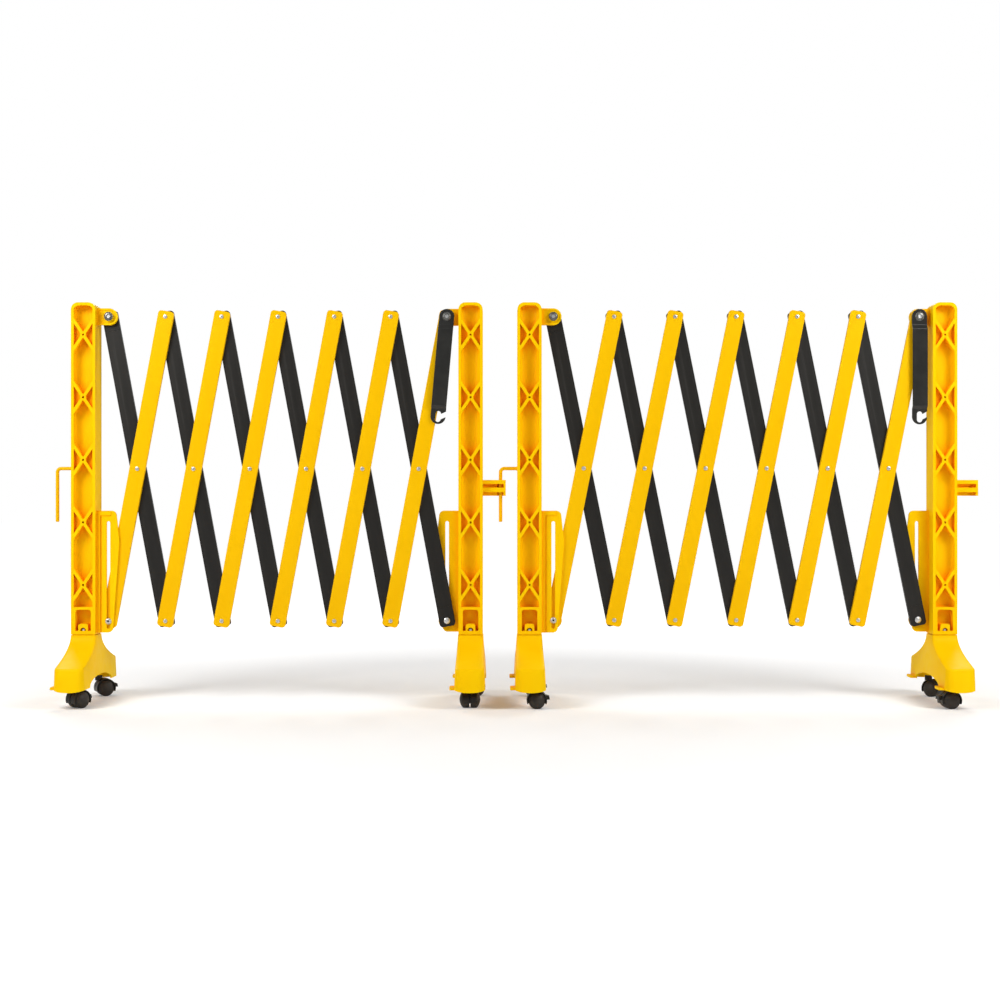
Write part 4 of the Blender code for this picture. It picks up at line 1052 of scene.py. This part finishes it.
class Look:
    """A material whose colour, roughness and fine relief come from noise in the piece's own space, some with
    painted shade in their hollows.
    """

    def __init__(self, name, slot=None, metallic=0.0, specular=0.5):
        LOOKS[name] = self
        self.slot = slot or name
        self.material = bpy.data.materials.new(name)
        self.material.use_nodes = True
        self.tree = self.material.node_tree
        self.link = self.tree.links.new
        self.shader = self.tree.nodes["Principled BSDF"]
        self.shader.inputs["Metallic"].default_value = metallic
        self.shader.inputs["Specular IOR Level"].default_value = specular
        self.coordinates = node(self.tree, "TexCoord").outputs["Object"]

    def noise(self, scale, detail, stretch=1):
        """Noise with about scale lumps a metre, drawn out along Z by a stretch below 1."""
        mapping = node(self.tree, "Mapping", Scale=(1, 1, stretch))
        texture = node(self.tree, "TexNoise", Scale=scale, Detail=detail)
        self.link(self.coordinates, mapping.inputs["Vector"])
        self.link(mapping.outputs["Vector"], texture.inputs["Vector"])
        return texture.outputs["Fac"]

    def colours(self, factor, *stops):
        """Base colour from (position, colour) stops along a factor."""
        ramp = node(self.tree, "ValToRGB")
        elements = ramp.color_ramp.elements
        while len(elements) < len(stops):
            elements.new(1.0)
        for element, (position, colour) in zip(elements, stops):
            element.position = position
            element.color = (*colour, 1)
        self.link(factor, ramp.inputs["Fac"])
        self.link(ramp.outputs["Color"], self.shader.inputs["Base Color"])
        return ramp.outputs["Color"]

    def tones(self, factor, dark, light):
        return self.colours(factor, (NOISE_LOW, dark), (NOISE_HIGH, light))

    def paint_hollow_shade(self, colour, hollow_shade_colour, reach):
        """Painted shade: the colour turns to a deep one where the piece's own walls close a surface in, as
        the shade and bounced light in its hollows.
        """
        hollow_shade = node(self.tree, "AmbientOcclusion", Distance=reach)
        hollow_shade.only_local = True
        hollow_shade.samples = 4
        mix = node(self.tree, "Mix")
        mix.data_type = "RGBA"
        mix.inputs["A"].default_value = (*hollow_shade_colour, 1)
        self.link(hollow_shade.outputs["AO"], mix.inputs["Factor"])
        self.link(colour, mix.inputs["B"])
        self.link(mix.outputs["Result"], self.shader.inputs["Base Color"])

    def roughness(self, factor, low, high):
        spread = node(self.tree, "MapRange", From_Min=NOISE_LOW, From_Max=NOISE_HIGH, To_Min=low, To_Max=high)
        self.link(factor, spread.inputs["Value"])
        self.link(spread.outputs["Result"], self.shader.inputs["Roughness"])

    def relief(self, factor, strength, depth):
        bump = node(self.tree, "Bump", Strength=strength, Distance=depth)
        self.link(factor, bump.inputs["Height"])
        self.link(bump.outputs["Normal"], self.shader.inputs["Normal"])


look = Look("moulded_yellow", specular=0.03)
yellow = look.tones(look.noise(9, 4), (1.0, 0.575, 0.001), (1.0, 0.635, 0.002))
# Painted shade: the yellow turns deep orange in the piece's own pockets and hollows, in place of the light
# bounced and shaded in them.
look.paint_hollow_shade(yellow, (1.0, 0.32, 0.001), reach=20 * MM)
look.roughness(look.noise(60, 4), 0.36, 0.5)
look.relief(look.noise(1500, 2), 0.12, 0.15 * MM)

look = Look("painted_yellow", specular=0.05)
look.tones(look.noise(14, 5, stretch=0.25), (0.925, 0.505, 0.001), (0.965, 0.555, 0.002))
look.roughness(look.noise(45, 4, stretch=0.2), 0.26, 0.42)
look.relief(look.noise(650, 2), 0.1, 0.1 * MM)

# Dark streaks drawn out along the bar, with lighter ones that are partly scuffs and partly painted sheen, in
# place of the gloss that lightens the black bars.
look = Look("painted_black", specular=0.3)
look.colours(
    look.noise(70, 8, stretch=0.06),
    (0.35, (0.0085, 0.0074, 0.006)),
    (0.62, (0.013, 0.0115, 0.0093)),
    (0.78, (0.034, 0.032, 0.029)),
)
look.roughness(look.noise(40, 5, stretch=0.15), 0.3, 0.46)
look.relief(look.noise(800, 2), 0.12, 0.1 * MM)

look = Look("black_strap", specular=0.42)
look.colours(look.noise(30, 5), (0.35, (0.014, 0.0136, 0.012)), (NOISE_HIGH, (0.022, 0.0215, 0.019)))
look.roughness(look.noise(50, 4), 0.09, 0.16)
look.relief(look.noise(500, 2), 0.08, 0.1 * MM)

# The second look is the same zinc steel made darker, as painted shade for the dark reflections on the pivot
# bolts' heads.
for name, dark, light, roughest in (
    ("zinc_steel", (0.52, 0.515, 0.5), (0.78, 0.775, 0.755), 0.42),
    ("zinc_steel_painted_shade", (0.125, 0.124, 0.115), (0.25, 0.247, 0.23), 0.4),
):
    look = Look(name, slot="zinc_steel", metallic=1.0)
    look.tones(look.noise(260, 4), dark, light)
    look.roughness(look.noise(320, 4), 0.22, roughest)
    look.relief(look.noise(2600, 2), 0.1, 0.05 * MM)

look = Look("caster_black", specular=0.25)
look.tones(look.noise(60, 4), (0.017, 0.0145, 0.0115), (0.026, 0.0225, 0.018))
look.roughness(look.noise(120, 4), 0.3, 0.46)
look.relief(look.noise(1600, 2), 0.1, 0.1 * MM)

look = Look("wheel_grey", slot="caster_black", specular=0.25)
look.tones(look.noise(90, 5), (0.032, 0.0275, 0.023), (0.045, 0.039, 0.033))
look.roughness(look.noise(150, 4), 0.42, 0.6)
look.relief(look.noise(1200, 3), 0.16, 0.12 * MM)


# Placing


SHAPES = {
    "post": post_mesh(),
    "foot": foot_mesh(),
    "stem_boss": stem_boss_mesh(),
    "yellow_bar": yellow_bar_mesh(),
    "black_bar": black_bar_mesh(),
    "rivet": rivet_mesh(),
    "slide_bolt": slide_bolt_mesh(),
    "slide_washer": slide_washer_mesh(),
    # Socket floors that carry painted shade and a painted highlight.
    "slide_hex_shade": hex_floor_mesh(FLANGE_OUTER + CLEARANCE + SLIDE_FLANGE, SLIDE_HEX),
    "pivot_hex_highlight": hex_floor_mesh(LATCH_OUTER + CLEARANCE + PIVOT_FLANGE, PIVOT_HEX),
    "left_bolt": pivot_bolt_mesh(right=False),
    "right_bolt": pivot_bolt_mesh(right=True),
    "nut": smooth(hex_nut(FOOT_NUT_RADIUS, 0, FOOT_NUT_HEIGHT)),
    "latch": latch_mesh(),
    "link_pin": link_pin_mesh(),
    "link_socket": socket_mesh(),
    "hood": hood_mesh(),
    "stem": stem_mesh(),
    "wheels": wheels_mesh(),
}


def place(name, shape, look, body, at, turn_y=0.0, turn_z=0.0, stands_for=None):
    """A piece with its own copy of a shape, with a finish, carried by a body."""
    piece = added(SHAPES[shape].copy(), name)
    piece.location = at
    piece.rotation_euler = (0, turn_y, turn_z)
    piece.data.materials.clear()
    piece.data.materials.append(LOOKS[look].material)
    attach(piece, body)
    if stands_for:
        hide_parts(stands_for)
    return piece


def place_casters(section, side):
    for end in ENDS:
        tag = f"{side}_{end}_{section}"
        swivel = JOINTS[f"swivel_{tag}"]
        axle = JOINTS[f"roll_{tag}"]
        trail = axle - swivel
        heading = math.atan2(trail.y, trail.x)
        ground = (swivel.x, swivel.y, 0)
        body = f"caster_{tag}"
        hood = f"caster_hood_{tag}"
        wheels = f"caster_wheels_{tag}"
        place(hood + "_cover", "hood", "caster_black", body, ground, 0, heading, hood)
        place(f"caster_stem_{tag}", "stem", "zinc_steel", body, ground)
        place(wheels + "_tread", "wheels", "wheel_grey", f"wheels_{tag}", axle, 0, heading, wheels)
        place(f"stem_boss_{tag}", "stem_boss", "moulded_yellow", f"{side}_post_{section}", ground)


def place_post(section, side):
    right = side == "right"
    body = f"{side}_post_{section}"
    pivot = TOP_PIVOTS[side, section]
    inward = -1 if right else 1
    axis = (pivot.x - inward * PIVOT_FROM_AXIS, 0, 0)
    half_turn = math.pi if right else 0
    foot = f"{side}_foot_{section}"
    bolt = f"{side}_pivot_bolt_{section}"
    place(body + "_moulding", "post", "moulded_yellow", body, axis, 0, half_turn, body)
    place(foot + "_boot", "foot", "moulded_yellow", body, axis, stands_for=foot)
    # The pivot bolt's zinc is painted darker, as shade.
    place(bolt + "_set", f"{side}_bolt", "zinc_steel_painted_shade", body, pivot, stands_for=bolt)
    # Its socket's floor is bright zinc: a painted highlight in the dark head.
    place(f"{side}_pivot_hex_highlight_{section}", "pivot_hex_highlight", "zinc_steel", body, pivot)
    if right:
        link = f"link_socket_{section}"
        place(link + "_arm", "link_socket", "moulded_yellow", body, axis, stands_for=link)
    else:
        link = f"link_pin_{section}"
        place(link + "_rod", "link_pin", "painted_yellow", body, axis, stands_for=link)
    nut_floor = POST_BOTTOM + BASE_RIM
    for face, end in zip((-1, 1), ENDS):
        at = (axis[0], face * (-POST_FRONT - NUT_RADIUS), nut_floor)
        nut = place(f"foot_nut_{side}_{end}_{section}", "nut", "zinc_steel", body, at)
        nut.rotation_euler = (math.pi / 2, 0, 0)
    place_casters(section, side)
    if right:
        latch = f"latch_{section}"
        place(latch + "_strap", "latch", "black_strap", latch, pivot, LATCH_TILT[section], 0, latch)


def place_slide_bolt(tag, bar, at, turn):
    """A slide bolt in a bar's bottom end, with its washer, and a black floor in its head's socket as painted
    shade.
    """
    looks = {"slide_bolt": "zinc_steel", "slide_washer": "painted_yellow", "slide_hex_shade": "black_strap"}
    for shape, look in looks.items():
        place(f"{shape}_{tag}", shape, look, bar, at, 0, turn)


def place_lattice(section):
    lean = LEAN[section]
    half_pitch = CELL_PITCH[section] / 2
    rise = CELL_RISE[section]
    for cell in range(1, CELLS + 1):
        middle = JOINTS[f"crossing_{section}{cell}"]
        yellow = f"yellow_bar_{section}{cell}"
        black = f"black_bar_{section}{cell}"
        right_top, left_top, right_bottom, left_bottom = (
            middle + Vector((x, 0, z)) for z in (rise, -rise) for x in (half_pitch, -half_pitch)
        )
        place(yellow + "_flat", "yellow_bar", "painted_yellow", yellow, right_top, lean, 0, yellow)
        place(black + "_flat", "black_bar", "painted_black", black, left_top, -lean, 0, black)
        place(f"rivet_middle_{section}{cell}", "rivet", "zinc_steel", yellow, middle)
        if cell < CELLS:
            place(f"rivet_top_{section}{cell}", "rivet", "zinc_steel", yellow, right_top)
        else:
            place_slide_bolt(f"rear_{section}", black, right_bottom, math.pi)
        if cell > 1:
            place(f"rivet_bottom_{section}{cell}", "rivet", "zinc_steel", yellow, left_bottom)
        else:
            place_slide_bolt(f"front_{section}", yellow, left_bottom, 0)


for section in SECTIONS:
    for side in SIDES:
        place_post(section, side)
    place_lattice(section)


# Stage: floor, lamps, world and camera

CAMERA_DISTANCE = 3.8
CAMERA_HEIGHT = 0.4845
CAMERA_LENS = 57
CAMERA_SENSOR = 36
CAMERA_LEFT_OF_LINK = 1.4 * MM
FLOOR_SIZE = 60
FLOOR_COLOUR = (0.9, 0.9, 0.9, 1)
FLOOR_GLOW = {"From_Min": 1.0, "To_Min": 0.1, "From_Max": 3.4, "To_Max": 0.85}  # by distance from the middle
AMBIENT = 0.17
GLOSS = 0.32  # what shines back from the studio's walls


def calculated(tree, operation, first, second):
    """The result of an operation on a socket and a socket or number."""
    made = node(tree, "Math")
    made.operation = operation
    tree.links.new(first, made.inputs[0])
    if isinstance(second, float):
        made.inputs[1].default_value = second
    else:
        tree.links.new(second, made.inputs[1])
    return made.outputs["Value"]


def background_rays(tree):
    """1 for rays that show the background, from the camera and through glass, and less for those in gloss."""
    path = node(tree, "LightPath")
    gloss = calculated(tree, "MULTIPLY", path.outputs["Is Glossy Ray"], GLOSS)
    seen = calculated(tree, "MAXIMUM", path.outputs["Is Camera Ray"], gloss)
    return calculated(tree, "MAXIMUM", seen, path.outputs["Is Transmission Ray"])


def lay_floor():
    """A pale floor that shows white, and still takes the object's shadow."""
    bm = bmesh.new()
    bmesh.ops.create_grid(bm, x_segments=1, y_segments=1, size=FLOOR_SIZE / 2)
    mesh = filled("floor", bm)
    material = bpy.data.materials.new("floor")
    material.use_nodes = True
    tree = material.node_tree
    tree.nodes.clear()
    link = tree.links.new
    diffuse = node(tree, "BsdfDiffuse", Color=FLOOR_COLOUR)
    lift = node(tree, "Emission")
    distance = node(tree, "VectorMath")
    distance.operation = "LENGTH"
    link(node(tree, "NewGeometry").outputs["Position"], distance.inputs[0])
    glow = node(tree, "MapRange", **FLOOR_GLOW)
    link(distance.outputs["Value"], glow.inputs["Value"])
    strength = calculated(tree, "MULTIPLY", background_rays(tree), glow.outputs["Result"])
    link(strength, lift.inputs["Strength"])
    both = node(tree, "AddShader")
    link(diffuse.outputs["BSDF"], both.inputs[0])
    link(lift.outputs["Emission"], both.inputs[1])
    link(both.outputs["Shader"], node(tree, "OutputMaterial").inputs["Surface"])
    mesh.materials.append(material)
    added(mesh, "floor")


def light_world():
    world = bpy.data.worlds.new("studio")
    bpy.context.scene.world = world
    world.use_nodes = True
    tree = world.node_tree
    background = tree.nodes["Background"]
    background.inputs["Color"].default_value = (1, 1, 1, 1)
    level = node(tree, "MapRange", To_Min=AMBIENT, To_Max=1.0)
    tree.links.new(background_rays(tree), level.inputs["Value"])
    tree.links.new(level.outputs["Result"], background.inputs["Strength"])


def hang_lamp(name, at, towards, size, watts):
    lamp = bpy.data.lights.new(name, "AREA")
    lamp.shape = "RECTANGLE"
    lamp.size, lamp.size_y = size
    lamp.energy = watts
    obj = added(lamp, name)
    obj.location = at
    obj.rotation_euler = (Vector(towards) - Vector(at)).to_track_quat("-Z", "Y").to_euler()


def set_camera():
    camera = bpy.data.cameras.new("camera")
    camera.sensor_width = CAMERA_SENSOR
    camera.lens = CAMERA_LENS
    obj = added(camera, "camera")
    obj.location = (JOINTS["link_hinge"].x - CAMERA_LEFT_OF_LINK, -CAMERA_DISTANCE, CAMERA_HEIGHT)
    obj.rotation_euler = (math.pi / 2, 0, 0)
    bpy.context.scene.camera = obj


lay_floor()
light_world()
for side, name in ((-1, "left"), (1, "right")):
    front, rear = (side * 1.8, -1.4, 1.65), (side * 1.5, 2.1, 2.1)
    hang_lamp(name, front, towards=(side * 0.6, -0.7, 0), size=(0.9, 1.0), watts=33)
    hang_lamp(f"rear_{name}", rear, towards=(side * 0.5, 0, 0.4), size=(1.4, 1.0), watts=30)
hang_lamp("top", at=(0, -2.2, 3.0), towards=(0, 0, 0.5), size=(3.8, 0.08), watts=7)
set_camera()
bpy.context.scene.view_settings.view_transform = "Standard"
